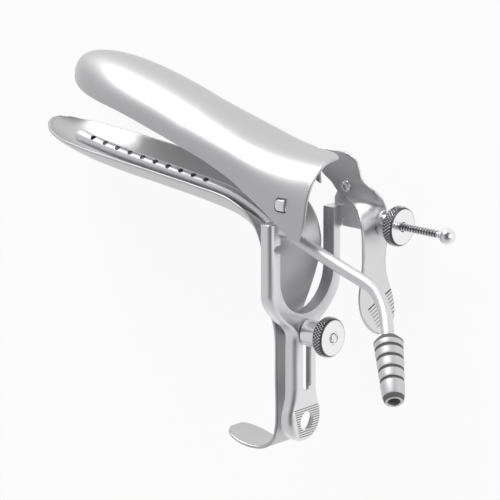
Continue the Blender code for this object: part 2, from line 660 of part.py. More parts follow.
def build():
    clear_scene()
    satin = steel("satin_steel", 0.62, 0.28)
    polished = steel("polished_steel", 0.78, 0.16)
    knurled = steel("knurled_steel", 0.55, 0.34)
    frame = carrier("instrument_frame", (0, 0, 0))
    yoke_carrier = carrier("yoke_carrier", (YOKE_FRONT, 0, STUD_Z), frame)
    blade_carrier = carrier("blade_carrier", (0, 0, 0), yoke_carrier)
    screw_carrier = carrier("screw_carrier", (SCREW_PIN_X, SCREW_Y, SCREW_Z), yoke_carrier)
    collar_carrier = carrier("collar_carrier", (COLLAR_REAR_X, SCREW_Y, SCREW_Z), screw_carrier)
    nut_place = (COLLAR_REAR_X + COLLAR_LONG, SCREW_Y, SCREW_Z)
    nut_carrier = carrier("opening_nut_carrier", nut_place, collar_carrier)
    thumb_carrier = carrier("thumb_nut_carrier", (YOKE_FRONT, 0, STUD_Z), frame)
    posterior_blade(frame, satin)
    smoke_tube(frame, satin)
    hose_barb(frame, polished)
    thumb_nut(frame, thumb_carrier, polished, knurled)
    yoke(yoke_carrier, satin)
    hinge_pins(yoke_carrier, polished)
    screw_pin(yoke_carrier, polished)
    anterior_blade(blade_carrier, satin)
    thumb_lever(blade_carrier, satin)
    opening_screw(screw_carrier, polished)
    opening_nut(collar_carrier, nut_carrier, polished, knurled)
    lay_down(frame)
    bpy.context.view_layer.update()


build()
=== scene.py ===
"""Looks of a vaginal speculum in stainless steel, lying on its far side.

Every piece is drawn in the instrument's own frame (+X operator, +Y far side, +Z up).
`put` and `grown` then set it down by SET_DOWN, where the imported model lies.
"""

import json
from math import cos, pi, radians, sin

import bmesh
import bpy
import numpy as np
from mathutils import Matrix, Vector


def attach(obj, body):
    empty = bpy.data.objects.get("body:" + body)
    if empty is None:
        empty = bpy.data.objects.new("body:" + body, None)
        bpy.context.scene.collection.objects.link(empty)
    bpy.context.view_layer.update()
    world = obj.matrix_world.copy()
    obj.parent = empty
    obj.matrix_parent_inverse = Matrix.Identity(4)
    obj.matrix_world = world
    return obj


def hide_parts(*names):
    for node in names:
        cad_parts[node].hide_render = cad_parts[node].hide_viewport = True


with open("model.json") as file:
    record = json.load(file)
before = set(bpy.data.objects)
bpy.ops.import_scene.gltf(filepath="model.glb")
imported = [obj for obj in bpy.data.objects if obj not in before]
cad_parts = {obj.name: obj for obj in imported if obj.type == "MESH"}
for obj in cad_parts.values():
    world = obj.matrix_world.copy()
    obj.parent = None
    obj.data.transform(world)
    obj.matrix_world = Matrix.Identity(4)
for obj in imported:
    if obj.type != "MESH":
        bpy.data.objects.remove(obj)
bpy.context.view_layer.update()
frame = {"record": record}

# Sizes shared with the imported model, in metres
SHEET = 0.0012
FIT = 0.0003
SCREW = Vector((-0.0040, 0.0268, -0.0142))
ROD_D = 0.0036
BALL_X = 0.0488
BALL_D = 0.0070
COLLAR_REAR_X = 0.0167
COLLAR_LONG = 0.0040
COLLAR_D = 0.0116
NUT_D = 0.0170
NUT_RIM = 0.0048
YOKE_FRONT = -0.0030
STUD = Vector((-0.0131, 0.0, -0.0583))
STUD_D = 0.0036
HUB_D = 0.0110
HUB_LONG = 0.0088
TUBE_D = 0.0054
TUBE_WALL = 0.0007
BARB_AXIS = Vector((0.54, -0.54, -0.645)).normalized()
BARB_LONG = 0.0310
BARB_TOP_D = 0.0125
BARB_END_D = 0.0090
BARB_BORE_D = 0.0052
BARB_SOCKET = 0.0050

# The opening screw's thread, from the plain part of the rod to its ball
THREAD_FROM = 0.0072
THREAD_LONG = 0.0405
THREAD_PITCH = 0.0014
THREAD_DEEP = 0.0005
THREAD_RIDGE = 0.00042

# The pad's filed grooves from the top left one, and how many the lever has
PAD_GROOVES = 13
PAD_GROOVE_PITCH = 0.0010
PAD_GROOVE_TOP = -0.0905
PAD_GROOVE_LEFT = -0.0077
PAD_GROOVE_LEFT_STEP = 0.00027
LEVER_GROOVES = 7

# How much painted shade darkens the steel in hollows, barb grooves and filed grooves
HOLLOW_PAINTED_SHADE = 0.85
BARB_PAINTED_SHADE = 0.66
FILED_PAINTED_SHADE = 0.72

joints = {joint["name"]: joint for joint in frame["record"]["behaviour"]["joints"]}
hinge_line = Vector(joints["blade_hinge"]["axis"]).normalized()
upright = Vector(joints["yoke_slide"]["axis"]).normalized()
operator_way = hinge_line.cross(upright)
SET_DOWN = Matrix.Translation(Vector(joints["blade_hinge"]["pos_m"])) \
    @ Matrix((operator_way, hinge_line, upright)).transposed().to_4x4()


# Node trees: sockets that can be used in arithmetic, and one call for any node

class Value:
    """An output socket; an expression on it adds its Math nodes."""

    def __init__(self, nodes, socket):
        self.nodes = nodes
        self.socket = socket

    def math(self, operation, *terms):
        settings = {"operation": operation}
        return self.nodes.add("ShaderNodeMath", settings, dict(enumerate(terms)))

    def __add__(self, other):
        return self.math("ADD", self, other)

    def __sub__(self, other):
        return self.math("SUBTRACT", self, other)

    def __rsub__(self, other):
        return self.math("SUBTRACT", other, self)

    def __mul__(self, other):
        return self.math("MULTIPLY", self, other)

    def __truediv__(self, other):
        return self.math("DIVIDE", self, other)

    def above(self, other):
        return self.math("GREATER_THAN", self, other)

    def sine(self):
        return self.math("SINE", self)

    def least(self, other):
        return self.math("MINIMUM", self, other)

    def ramp(self, low, high, start=0.0, end=1.0):
        """This value's smooth climb from start to end as it goes from low to high."""
        inputs = {0: self, 1: low, 2: high, 3: start, 4: end}
        return self.nodes.add("ShaderNodeMapRange", {"interpolation_type": "SMOOTHSTEP"}, inputs)


class Nodes:
    """A node tree with one method that adds any node."""

    def __init__(self, tree):
        self.tree = tree

    def add(self, kind, settings=None, inputs=None, output=0):
        node = self.tree.nodes.new(kind)
        for name, value in (settings or {}).items():
            setattr(node, name, value)
        for key, value in (inputs or {}).items():
            socket = node.inputs[key]
            if isinstance(value, Value):
                self.tree.links.new(value.socket, socket)
            elif value is not None:
                socket.default_value = value
        return Value(self, node.outputs[output])

    def feed(self, value, socket):
        self.tree.links.new(value.socket, socket)

    def vector(self, operation, *terms, output=0):
        settings = {"operation": operation}
        return self.add("ShaderNodeVectorMath", settings, dict(enumerate(terms)), output)

    def mix(self, share, low, high):
        """A colour between two colours."""
        return self.add("ShaderNodeMix", {"data_type": "RGBA"}, {0: share, 6: low, 7: high}, 2)


# Finishes

def across(nodes, place, start, direction):
    """How far a point is along a line, and how far from it, in metres."""
    offset = nodes.vector("SUBTRACT", place, tuple(start))
    along = nodes.vector("DOT_PRODUCT", offset, tuple(direction), output=1)
    foot = {0: tuple(direction), 3: along}
    back = nodes.add("ShaderNodeVectorMath", {"operation": "SCALE"}, foot)
    return along, nodes.vector("LENGTH", nodes.vector("SUBTRACT", offset, back), output=1)


GRAIN_SCALE = 2600.0
MOTTLE_SCALE = 70.0
GRAIN_DEEP = 0.0001


def steel(name, tone, rough, grain=0.04, brushed=(1.0, 1.0, 1.0), relief=0.03, detail=None):
    """Stainless steel: a fine grain in its grey, its roughness and its surface."""
    material = bpy.data.materials.new(name)
    material.use_nodes = True
    nodes = Nodes(material.node_tree)
    shader = material.node_tree.nodes["Principled BSDF"]
    shader.inputs["Metallic"].default_value = 1.0
    place = nodes.add("ShaderNodeTexCoord", output="Object")
    upright_place = {0: place, 2: SET_DOWN.to_euler()}
    turned = nodes.add("ShaderNodeMapping", {"vector_type": "TEXTURE"}, upright_place)
    stretched = nodes.vector("MULTIPLY", turned, brushed)
    fine = nodes.add("ShaderNodeTexNoise", None,
                     {"Vector": stretched, "Scale": GRAIN_SCALE, "Detail": 3.0})
    broad = nodes.add("ShaderNodeTexNoise", None,
                      {"Vector": place, "Scale": MOTTLE_SCALE, "Detail": 2.0})
    shade = (fine - 0.5) * (2 * grain) + (broad - 0.5) * grain + 1.0
    roughness = (fine - 0.5) * 0.08 + (broad - 0.5) * 0.06 + rough
    # A detail paints shade into the grey and adds roughness at the same places
    if detail:
        dark, wear = detail(nodes, place)
        shade = shade * dark
        roughness = roughness + wear
    colour = nodes.mix(shade * tone, (0.0, 0.0, 0.0, 1.0), (1.0, 1.0, 1.012, 1.0))
    nodes.feed(colour, shader.inputs["Base Color"])
    nodes.feed(roughness, shader.inputs["Roughness"])
    bump = nodes.add("ShaderNodeBump", None,
                     {"Strength": relief, "Distance": GRAIN_DEEP, "Height": fine})
    nodes.feed(bump, shader.inputs["Normal"])
    return material


def hollow_painted_shade(centre, axis, outer, depth, length):
    """Painted shade in the hollows of a knurl or a thread round an axis, darker below its crests.
    """
    place_centre = SET_DOWN @ Vector(centre)
    way = SET_DOWN.to_3x3() @ Vector(axis)

    def detail(nodes, place):
        along, radius = across(nodes, place, place_centre, way)
        rim = radius.ramp(outer - depth * 1.9, outer - depth * 1.3)
        dark = rim * radius.ramp(outer - depth * 0.95, outer - depth * 0.5, 1.0, 0.0)
        dark = dark * along.above(0.0) * (1.0 - along.above(length))
        return 1.0 - dark * HOLLOW_PAINTED_SHADE, dark * 0.3
    return detail


def barb_painted_shade(start, axis, lines, width, neck, lip):
    """Painted shade in the grooves round a barb, on its neck and on the lip round its mouth."""
    place_start = SET_DOWN @ Vector(start)
    way = SET_DOWN.to_3x3() @ Vector(axis)

    def detail(nodes, place):
        along, radius = across(nodes, place, place_start, way)
        mouth = along.ramp(lip, lip + 0.0003) * radius.ramp(0.0035, 0.0038)
        dark = along.ramp(neck * 1.5, neck * 1.6, 1.0, 0.0) + mouth
        for line in lines:
            away = nodes.add("ShaderNodeMath", {"operation": "ABSOLUTE"}, {0: along - line})
            dark = dark + away.ramp(width * 0.45, width * 0.75, 1.0, 0.0)
        dark = dark.least(1.0)
        return 1.0 - dark * BARB_PAINTED_SHADE, dark * 0.25
    return detail


def filed_painted_shade(top, pitch, slant, count, left, left_step, behind):
    """Painted shade as dark lines in a row of filed grooves, on the steel that lies in front of
    behind.
    """
    origin = tuple(SET_DOWN.translation)

    def detail(nodes, place):
        offset = nodes.vector("SUBTRACT", place, origin)
        x, y, z = (nodes.vector("DOT_PRODUCT", offset, tuple(way), output=1)
                   for way in (operator_way, hinge_line, upright))
        turn = (y * slant + top - z) / pitch
        part = nodes.add("ShaderNodeMath", {"operation": "FRACT"}, {0: turn + 0.5})
        away = nodes.add("ShaderNodeMath", {"operation": "ABSOLUTE"}, {0: part - 0.5})
        line = away.ramp(0.00012 / pitch, 0.00026 / pitch, 1.0, 0.0)
        rows = turn.above(-0.5) * (1.0 - turn.above(count - 0.5))
        dark = line * rows * (y - turn * left_step).above(left) * x.above(behind)
        return 1.0 - dark * FILED_PAINTED_SHADE, dark * 0.2
    return detail


# Where each row of grooves gets its painted shade: top, pitch, slant, count, left end, its step,
# and the level it stops behind
PAD_GROOVE_PAINTED_SHADE = (PAD_GROOVE_TOP, PAD_GROOVE_PITCH, 0.0, PAD_GROOVES,
              PAD_GROOVE_LEFT - 0.0001, PAD_GROOVE_LEFT_STEP, YOKE_FRONT - 0.0004)
LEVER_GROOVE_PAINTED_SHADE = (-0.05458, 0.00165, 0.37, LEVER_GROOVES, 0.0158, 0.00082, 0.0155)
# Where the thread's hollows between its ridges get painted shade
THREAD_PAINTED_SHADE = (SCREW + Vector((THREAD_FROM, 0, 0)), (1, 0, 0),
                  ROD_D / 2, THREAD_DEEP, THREAD_LONG)

# The yoke and lever finishes paint shade into their filed grooves, the thread finish into the
# thread's hollows
FINISHES = {
    "blade": steel("satin_blade_steel", 0.58, 0.40, 0.03, (0.25, 1.0, 1.0)),
    "yoke": steel("satin_yoke_steel", 0.80, 0.38, 0.03, (1.0, 1.0, 0.25),
                  detail=filed_painted_shade(*PAD_GROOVE_PAINTED_SHADE)),
    "lever": steel("satin_lever_steel", 0.74, 0.42, 0.03, (1.0, 1.0, 0.25),
                   detail=filed_painted_shade(*LEVER_GROOVE_PAINTED_SHADE)),
    "tube": steel("drawn_tube_steel", 0.74, 0.42, 0.03, (0.2, 1.0, 1.0), relief=0.015),
    "polished": steel("polished_steel", 0.86, 0.24, 0.02, relief=0.01),
    "thread": steel("threaded_rod_steel", 0.86, 0.24, 0.02,
                    detail=hollow_painted_shade(*THREAD_PAINTED_SHADE)),
}


# Meshes

def put(bm, name, finish, sharp=38):
    """A finished mesh in the instrument's frame becomes an object in the part's frame."""
    bmesh.ops.recalc_face_normals(bm, faces=bm.faces[:])
    mesh = bpy.data.meshes.new(name)
    bm.to_mesh(mesh)
    bm.free()
    mesh.transform(SET_DOWN)
    mesh.shade_smooth()
    mesh.set_sharp_from_angle(angle=radians(sharp))
    mesh.materials.append(finish)
    piece = bpy.data.objects.new(name, mesh)
    bpy.context.scene.collection.objects.link(piece)
    return piece


def settle(piece, sharp=38):
    """Turns a piece's modifiers into its plain mesh."""
    bpy.context.view_layer.update()
    graph = bpy.context.evaluated_depsgraph_get()
    mesh = bpy.data.meshes.new_from_object(piece.evaluated_get(graph))
    piece.modifiers.clear()
    piece.data = mesh
    mesh.shade_smooth()
    mesh.set_sharp_from_angle(angle=radians(sharp))
    return piece


def cut(piece, cutters, operation="DIFFERENCE", folded=False):
    """Booleans the cutters with a piece and removes them; folded is for one that crosses itself."""
    for cutter in cutters:
        modifier = piece.modifiers.new(cutter.name, "BOOLEAN")
        modifier.operation = operation
        modifier.solver = "EXACT"
        modifier.object = cutter
        modifier.use_self = folded
    settle(piece)
    for cutter in cutters:
        bpy.data.objects.remove(cutter)
    return piece


def smooth_rows(rows, count):
    """Rows of values, read again at even steps along a smooth curve through them."""
    rows = np.array(rows, float)
    steps = np.linalg.norm(np.diff(rows[:, :3], axis=0), axis=1)
    place = np.concatenate([[0], np.cumsum(np.sqrt(steps))])
    slopes = np.gradient(rows, place, axis=0)
    wanted = np.linspace(0, place[-1], count)
    low = np.clip(np.searchsorted(place, wanted, side="right") - 1, 0, len(rows) - 2)
    span = (place[low + 1] - place[low])[:, None]
    t = (wanted - place[low])[:, None] / span
    a, b = rows[low], rows[low + 1]
    m, n = slopes[low] * span, slopes[low + 1] * span
    return (2 * t**3 - 3 * t**2 + 1) * a + (t**3 - 2 * t**2 + t) * m \
        + (3 * t**2 - 2 * t**3) * b + (t**3 - t**2) * n


def unit(vectors):
    """Vectors of the same directions, one metre long."""
    return vectors / np.linalg.norm(vectors, axis=-1, keepdims=True)


def stitch(bm, first, second):
    """A band of faces between two rings of vertices."""
    for i in range(len(first)):
        j = (i + 1) % len(first)
        bm.faces.new((first[i], first[j], second[j], second[i]))


def sheet(middle, name, finish, steps=4):
    """A bent sheet with round edges, around a grid of middle points."""
    half = SHEET / 2
    along = unit(np.gradient(middle, axis=0))
    sideways = unit(np.gradient(middle, axis=1))
    normal = unit(np.cross(along, sideways))
    sideways = np.cross(normal, along)

    def ring(i, reach, thick):
        core = middle[i] + along[i] * reach
        core[0] += sideways[i, 0] * half
        core[-1] -= sideways[i, -1] * half
        points = list(core + normal[i] * thick)
        for k in range(1, steps):
            angle = pi / 2 - pi * k / steps
            way = sideways[i, -1] * cos(angle) + normal[i, -1] * sin(angle)
            points.append(core[-1] + way * thick)
        points += list(core[::-1] - normal[i, ::-1] * thick)
        for k in range(1, steps):
            angle = -pi / 2 + pi * k / steps
            way = normal[i, 0] * sin(angle) - sideways[i, 0] * cos(angle)
            points.append(core[0] + way * thick)
        return points

    turns = [radians(angle) for angle in (4, 30, 60)]
    rings = [ring(0, half - half * cos(t), half * sin(t)) for t in turns]
    rings += [ring(i, 0, half) for i in range(1, len(middle) - 1)]
    rings += [ring(-1, half * cos(t) - half, half * sin(t)) for t in reversed(turns)]
    bm = bmesh.new()
    rows = [[bm.verts.new(point) for point in points] for points in rings]
    for first, second in zip(rows, rows[1:]):
        stitch(bm, first, second)
    bm.faces.new(rows[0])
    bm.faces.new(rows[-1])
    return put(bm, name, finish, 50)


def prism(outline, axis, low, high, name, finish=None):
    """A flat outline, pushed from low to high along an axis."""
    index = "xyz".index(axis)
    bm = bmesh.new()
    rings = []
    for level in (low, high):
        ring = []
        for a, b in outline:
            point = [a, b]
            point.insert(index, level)
            ring.append(bm.verts.new(point))
        rings.append(ring)
    stitch(bm, rings[0], rings[1])
    bm.faces.new(rings[0])
    bm.faces.new(rings[1])
    return put(bm, name, finish)


def turned(profile, start, direction, name, finish, sides=96, bored=False, sharp=30):
    """A profile of (distance along, radius) points turned about an axis, closed or with a bore."""
    turn = Vector((0, 0, 1)).rotation_difference(Vector(direction)).to_matrix()
    bm = bmesh.new()
    rings = []
    for along, radius in profile:
        ring = []
        for k in range(sides):
            angle = 2 * pi * k / sides
            local = Vector((radius * cos(angle), radius * sin(angle), along))
            ring.append(bm.verts.new(Vector(start) + turn @ local))
        rings.append(ring)
    for first, second in zip(rings, rings[1:]):
        stitch(bm, first, second)
    if bored:
        stitch(bm, rings[-1], rings[0])
    else:
        bm.faces.new(rings[0])
        bm.faces.new(rings[-1])
    return put(bm, name, finish, sharp)


def arc(centre, radius, first, last, steps):
    """Points of an arc, angles in degrees."""
    angles = [radians(first + (last - first) * i / steps) for i in range(steps + 1)]
    return [(centre[0] + radius * cos(t), centre[1] + radius * sin(t)) for t in angles]


def round_edge(along, radius, size, way, steps=4):
    """A quarter-round turned edge: (distance, radius) points that end on the rim if way is 1."""
    points = []
    for k in range(steps + 1):
        t = pi / 2 * k / steps
        points.append((along + size * (1 - cos(t)), radius - size * (1 - sin(t))))
    if way < 0:
        points = [(2 * along - a, r) for a, r in reversed(points)]
    return points


# The posterior blade: spine places (x, z), half widths and edge lifts
LOWER_SPINE = [
    (-0.1398, 0.0112, 0.0020, 0.0003), (-0.1388, 0.0092, 0.0068, 0.0016),
    (-0.1346, 0.0054, 0.0117, 0.0038), (-0.1262, 0.0014, 0.0153, 0.0060),
    (-0.1120, -0.0024, 0.0172, 0.0082), (-0.0940, -0.0051, 0.0176, 0.0093),
    (-0.0730, -0.0073, 0.0177, 0.0096), (-0.0500, -0.0100, 0.0180, 0.0102),
    (-0.0320, -0.0135, 0.0183, 0.0112), (-0.0225, -0.0180, 0.0186, 0.0102),
    (-0.0165, -0.0245, 0.0186, 0.0062), (-0.0143, -0.0330, 0.0172, 0.0030),
    (-0.0140, -0.0430, 0.0140, 0.0014), (-0.0140, -0.0520, 0.0100, 0.0004),
    (-0.0140, -0.0600, 0.0074, 0.0), (-0.0140, -0.0790, 0.0070, 0.0),
    (-0.0140, -0.0990, 0.0070, 0.0), (-0.0154, -0.1052, 0.0074, 0.0),
    (-0.0200, -0.1088, 0.0082, 0.0), (-0.0280, -0.1093, 0.0090, 0.0),
    (-0.0350, -0.1076, 0.0088, 0.0), (-0.0395, -0.1060, 0.0066, 0.0),
    (-0.0416, -0.1051, 0.0032, 0.0),
]


def posterior_blade():
    """The lower blade, its shank, handle and foot: one sheet along the spine."""
    rows = smooth_rows(LOWER_SPINE, 230)
    heading = unit(np.gradient(rows[:, :2], axis=0))
    share = np.linspace(-1, 1, 47)
    middle = np.zeros((len(rows), len(share), 3))
    for i, (x, z, half, lift) in enumerate(rows):
        up = lift * share**2
        middle[i, :, 0] = x - heading[i, 1] * up
        middle[i, :, 1] = half * share
        middle[i, :, 2] = z + heading[i, 0] * up
    return sheet(middle, "posterior_blade_sheet", FINISHES["blade"])


# The anterior blade: station x, half width, edge height, crest height
SKIRT_HALF = 0.0218
UPPER_STATIONS = [
    (-0.1238, 0.0024, 0.0366, 0.0380), (-0.1225, 0.0066, 0.0335, 0.0404),
    (-0.1184, 0.0107, 0.0309, 0.0423), (-0.1110, 0.0144, 0.0286, 0.0433),
    (-0.1010, 0.0172, 0.0270, 0.0428), (-0.0880, 0.0186, 0.0247, 0.0405),
    (-0.0700, 0.0190, 0.0199, 0.0360), (-0.0550, 0.0191, 0.0156, 0.0312),
    (-0.0400, 0.0194, 0.0111, 0.0264), (-0.0280, 0.0199, 0.0066, 0.0228),
    (-0.0180, 0.0206, 0.0014, 0.0204), (-0.0090, 0.0212, -0.0034, 0.0190),
    (-0.0010, 0.0216, -0.0083, 0.0182), (0.0060, SKIRT_HALF, -0.0125, 0.0179),
    (0.0120, SKIRT_HALF, -0.0137, 0.0178), (0.0150, SKIRT_HALF, -0.0140, 0.0178),
]
RIM_X = 0.0135
RIM_CORNER_X = 0.0106
FAR_RIM_X = -0.0130
BLADE_BASE_X = -0.0280
BASE_SQUARENESS = 2.5
CORNER_SHARE = 0.84
TONGUE_SLOT = 0.0060


def rim_of(share):
    """Where the blade's rim ends, from its near side at -1 to its far side at 1."""
    corner = max(0.0, (-share - CORNER_SHARE) / (1 - CORNER_SHARE))
    near_corner = RIM_X - (RIM_X - RIM_CORNER_X) * corner ** 2
    cut_back = min(1.0, max(0.0, share / 0.5))
    return near_corner + (FAR_RIM_X - RIM_X) * cut_back


def anterior_blade():
    """The upper blade: arches along its stations out to the slanted rim, and the hinge slot."""
    body = smooth_rows([row for row in UPPER_STATIONS if row[0] <= BLADE_BASE_X], 110)
    table = smooth_rows(UPPER_STATIONS, 400)
    base_steps = 44
    share = np.linspace(-1, 1, 73)
    middle = np.zeros((len(body) + base_steps, len(share), 3))
    for j, s in enumerate(share):
        for i in range(len(middle)):
            if i < len(body):
                x, half, edge, crest = body[i]
            else:
                t = (i - len(body) + 1) / base_steps
                x = BLADE_BASE_X + (rim_of(s) - BLADE_BASE_X) * t
                half, edge, crest = [np.interp(x, table[:, 0], table[:, k]) for k in (1, 2, 3)]
            flared = min(1.0, max(0.0, (x - BLADE_BASE_X * 2) / -BLADE_BASE_X))
            power = 2 / (2 + (BASE_SQUARENESS - 2) * flared)
            sideways = abs(sin(s * pi / 2)) ** power * (1 if s > 0 else -1)
            height = edge + (crest - edge) * max(0, cos(s * pi / 2)) ** power
            middle[i, j] = (x, half * sideways, height)
    blade = sheet(middle, "anterior_blade_sheet", FINISHES["blade"])
    return cut(blade, [prism(tongue_outline(TONGUE_SLOT / 2), "y", -0.0258, -0.0158, "hinge_slot")])


def tongue_outline(half):
    """A D, rounded at the back, as (x, z)."""
    back, radius = -half / 3, half * 2 / 3
    outline = [(half, -half), (half, half)] + arc((back, -back), radius, 90, 180, 10)
    outline += arc((back, back), radius, 180, 270, 10)
    return [(x + 0.0006, z + 0.0005) for x, z in outline]


# What repeats: each tree is built once, and its sizes are named inputs

def tree_of(name, inputs):
    """A geometry tree with named inputs, and its Nodes wrapper."""
    tree = bpy.data.node_groups.new(name, "GeometryNodeTree")
    tree.interface.new_socket("Geometry", in_out="OUTPUT", socket_type="NodeSocketGeometry")
    for label, kind in inputs.items():
        tree.interface.new_socket(label, in_out="INPUT", socket_type="NodeSocket" + kind)
    nodes = Nodes(tree)
    entry = tree.nodes.new("NodeGroupInput")
    return tree, nodes, {label: Value(nodes, entry.outputs[label]) for label in inputs}


def close_tree(nodes, instances, finish):
    """Realize the instances, give them their finish and hand them out."""
    real = nodes.add("GeometryNodeRealizeInstances", None, {0: instances})
    painted = nodes.add("GeometryNodeSetMaterial", None, {0: real, "Material": finish})
    leave = nodes.tree.nodes.new("NodeGroupOutput")
    nodes.feed(painted, leave.inputs[0])


def grown(tree, name, place, sharp=30, **sizes):
    """Runs a tree with its sizes and sets the result down at a place in the instrument's frame."""
    piece = bpy.data.objects.new(name, bpy.data.meshes.new(name))
    bpy.context.scene.collection.objects.link(piece)
    modifier = piece.modifiers.new("grow", "NODES")
    modifier.node_group = tree
    for item in tree.interface.items_tree:
        label = item.name.replace(" ", "_")
        if item.in_out == "INPUT" and label in sizes:
            modifier[item.identifier] = sizes[label]
    settle(piece, sharp)
    finish = piece.data.materials[-1]
    piece.data.materials.clear()
    piece.data.materials.append(finish)
    piece.data.transform(SET_DOWN @ place)
    return piece


def facing_x(place):
    """A place whose own Z axis runs along the instrument's X."""
    return Matrix.Translation(Vector(place)) @ Matrix.Rotation(pi / 2, 4, "Y")


def bar_tree():
    """A row of V-shaped bars from one line of points to another, to cut grooves with."""
    kinds = {"Count": "Int", "Start": "Vector", "End": "Vector", "Start Step": "Vector",
             "End Step": "Vector", "Deep": "Float", "Finish": "Material"}
    tree, nodes, size = tree_of("groove_bars", kinds)
    line = nodes.add("GeometryNodeMeshLine", None,
                     {"Count": size["Count"], "Offset": (0.0, 0.0, 0.0)})
    index = nodes.add("GeometryNodeInputIndex")
    start = nodes.vector("MULTIPLY_ADD", size["Start Step"], index, size["Start"])
    end = nodes.vector("MULTIPLY_ADD", size["End Step"], index, size["End"])
    reach = nodes.vector("SUBTRACT", end, start)
    middle = nodes.vector("MULTIPLY_ADD", reach, (0.5, 0.5, 0.5), start)
    points = nodes.add("GeometryNodeSetPosition", None, {0: line, "Position": middle})
    bar = nodes.add("GeometryNodeMeshCylinder", None, {"Vertices": 4, "Radius": 1.0, "Depth": 1.0})
    rotation = nodes.add("FunctionNodeAlignRotationToVector", {"axis": "Z"}, {"Vector": reach})
    long = nodes.vector("LENGTH", reach, output=1)
    scale = nodes.add("ShaderNodeCombineXYZ", None, {0: size["Deep"], 1: size["Deep"], 2: long})
    copies = nodes.add("GeometryNodeInstanceOnPoints", None,
                       {"Points": points, "Instance": bar, "Rotation": rotation, "Scale": scale})
    close_tree(nodes, copies, size["Finish"])
    return tree


groove_bars = bar_tree()


def filed(name, count, start, end, start_step, end_step, deep=0.00030):
    """The bars that cut a row of grooves."""
    return grown(groove_bars, name, Matrix(), Count=count, Start=start, End=end,
                 Start_Step=start_step, End_Step=end_step, Deep=deep, Finish=FINISHES["yoke"])


# The thumb lever: rows of height, left end (x, y) and right end (x, y)
LEVER_Y = 0.0222
LEVER_ROWS = [
    (0.0142, -0.0160, LEVER_Y, -0.0010, LEVER_Y), (0.0120, -0.0172, LEVER_Y, 0.0042, LEVER_Y),
    (0.0080, -0.0168, LEVER_Y, 0.0066, LEVER_Y), (0.0034, -0.0130, LEVER_Y, 0.0084, LEVER_Y),
    (0.0004, -0.0085, LEVER_Y, 0.0140, LEVER_Y), (-0.0024, -0.0058, LEVER_Y, 0.0160, 0.0244),
    (-0.0056, -0.0010, LEVER_Y, 0.0163, 0.0266), (-0.0086, 0.0064, 0.0200, 0.0160, 0.0283),
    (-0.0120, 0.0126, 0.0150, 0.0157, 0.0290), (-0.0160, 0.0150, 0.0132, 0.0155, 0.0292),
    (-0.0210, 0.0152, 0.0134, 0.0152, 0.0294), (-0.0300, 0.0152, 0.0134, 0.0152, 0.0280),
    (-0.0370, 0.0152, 0.0122, 0.0152, 0.0292), (-0.0430, 0.0154, 0.0110, 0.0154, 0.0316),
    (-0.0490, 0.0158, 0.0114, 0.0158, 0.0330), (-0.0540, 0.0164, 0.0134, 0.0164, 0.0326),
    (-0.0580, 0.0171, 0.0170, 0.0171, 0.0300), (-0.0600, 0.0176, 0.0210, 0.0176, 0.0264),
]
LEVER_SLOT_HALF = 0.0025
LEVER_SLOT_REACH = 0.0030
PIVOT_D = 0.0034


def thumb_lever():
    """The lever: a strip of changing width and twist, its slot, its pivot hole and its grooves."""
    rows = smooth_rows(LEVER_ROWS, 150)
    share = np.linspace(0, 1, 33)[:, None]
    middle = np.zeros((len(rows), len(share), 3))
    for i, (z, xl, yl, xr, yr) in enumerate(rows):
        left, right = np.array([xl, yl, z]), np.array([xr, yr, z])
        middle[i] = left + (right - left) * share
        power = 1 + 2 * min(1.0, max(0.0, (z + 0.0120) / 0.0040))
        middle[i, :, 1] = yl + (yr - yl) * share[:, 0] ** power
    lever = sheet(middle, "thumb_lever_plate", FINISHES["lever"])
    outline = arc((SCREW.y, SCREW.z + LEVER_SLOT_REACH), LEVER_SLOT_HALF, 0, 180, 16)
    outline += arc((SCREW.y, SCREW.z - LEVER_SLOT_REACH), LEVER_SLOT_HALF, 180, 360, 16)
    slot = prism(outline, "x", 0.0080, 0.0240, "lever_slot")
    bore = PIVOT_D / 2 + FIT
    hole = turned([(0, bore), (0.008, bore)], (0, 0.018, 0), (0, 1, 0),
                  "lever_pivot_hole", None, 40)
    grooves = filed("lever_grooves", LEVER_GROOVES,
                    (0.01638, 0.0159, -0.0487), (0.0160, 0.0312, -0.04306),
                    (0.00018, 0.00082, -0.00135), (0.00013, 0.00015, -0.00159))
    return cut(lever, [slot, hole, grooves], folded=True)


# The yoke
YOKE_DEPTH = 0.0056
YOKE_WALL = 0.0013
YOKE_ROLL = 0.0026
ARM_IN = 0.0170
ARM_OUT = 0.0230
ARM_TOP = -0.0088
FORK_CENTRE_Z = -0.0330
SHOULDER_Z = -0.0400
SHANK_HALF = 0.0073
SHANK_TOP_Z = -0.0590
PAD_HALF = 0.0100
PAD_Z = -0.0950
SLOT_WIDE = 0.0052
SLOT_BOTTOM = -0.0830
PAD_HOLE_D = 0.0080
PAD_HOLE_Z = -0.0962
NEAR_EAR_Y = -0.0187
FAR_EAR_Y = 0.0241
EAR_HALF = 0.0046
SHOULDER = [(0.0212, -0.0446), (0.0150, -0.0512), (0.0098, -0.0552)]
PAD_NECK_Z = -0.0874
NOTCH = (-0.0194, -0.0195, 0.0016)


def flowing(points, steps):
    """A smooth run through outline points that lie a few millimetres apart."""
    rows = smooth_rows([(y, z, 0.0) for y, z in points], steps)
    return [(y, z) for y, z, _ in rows]


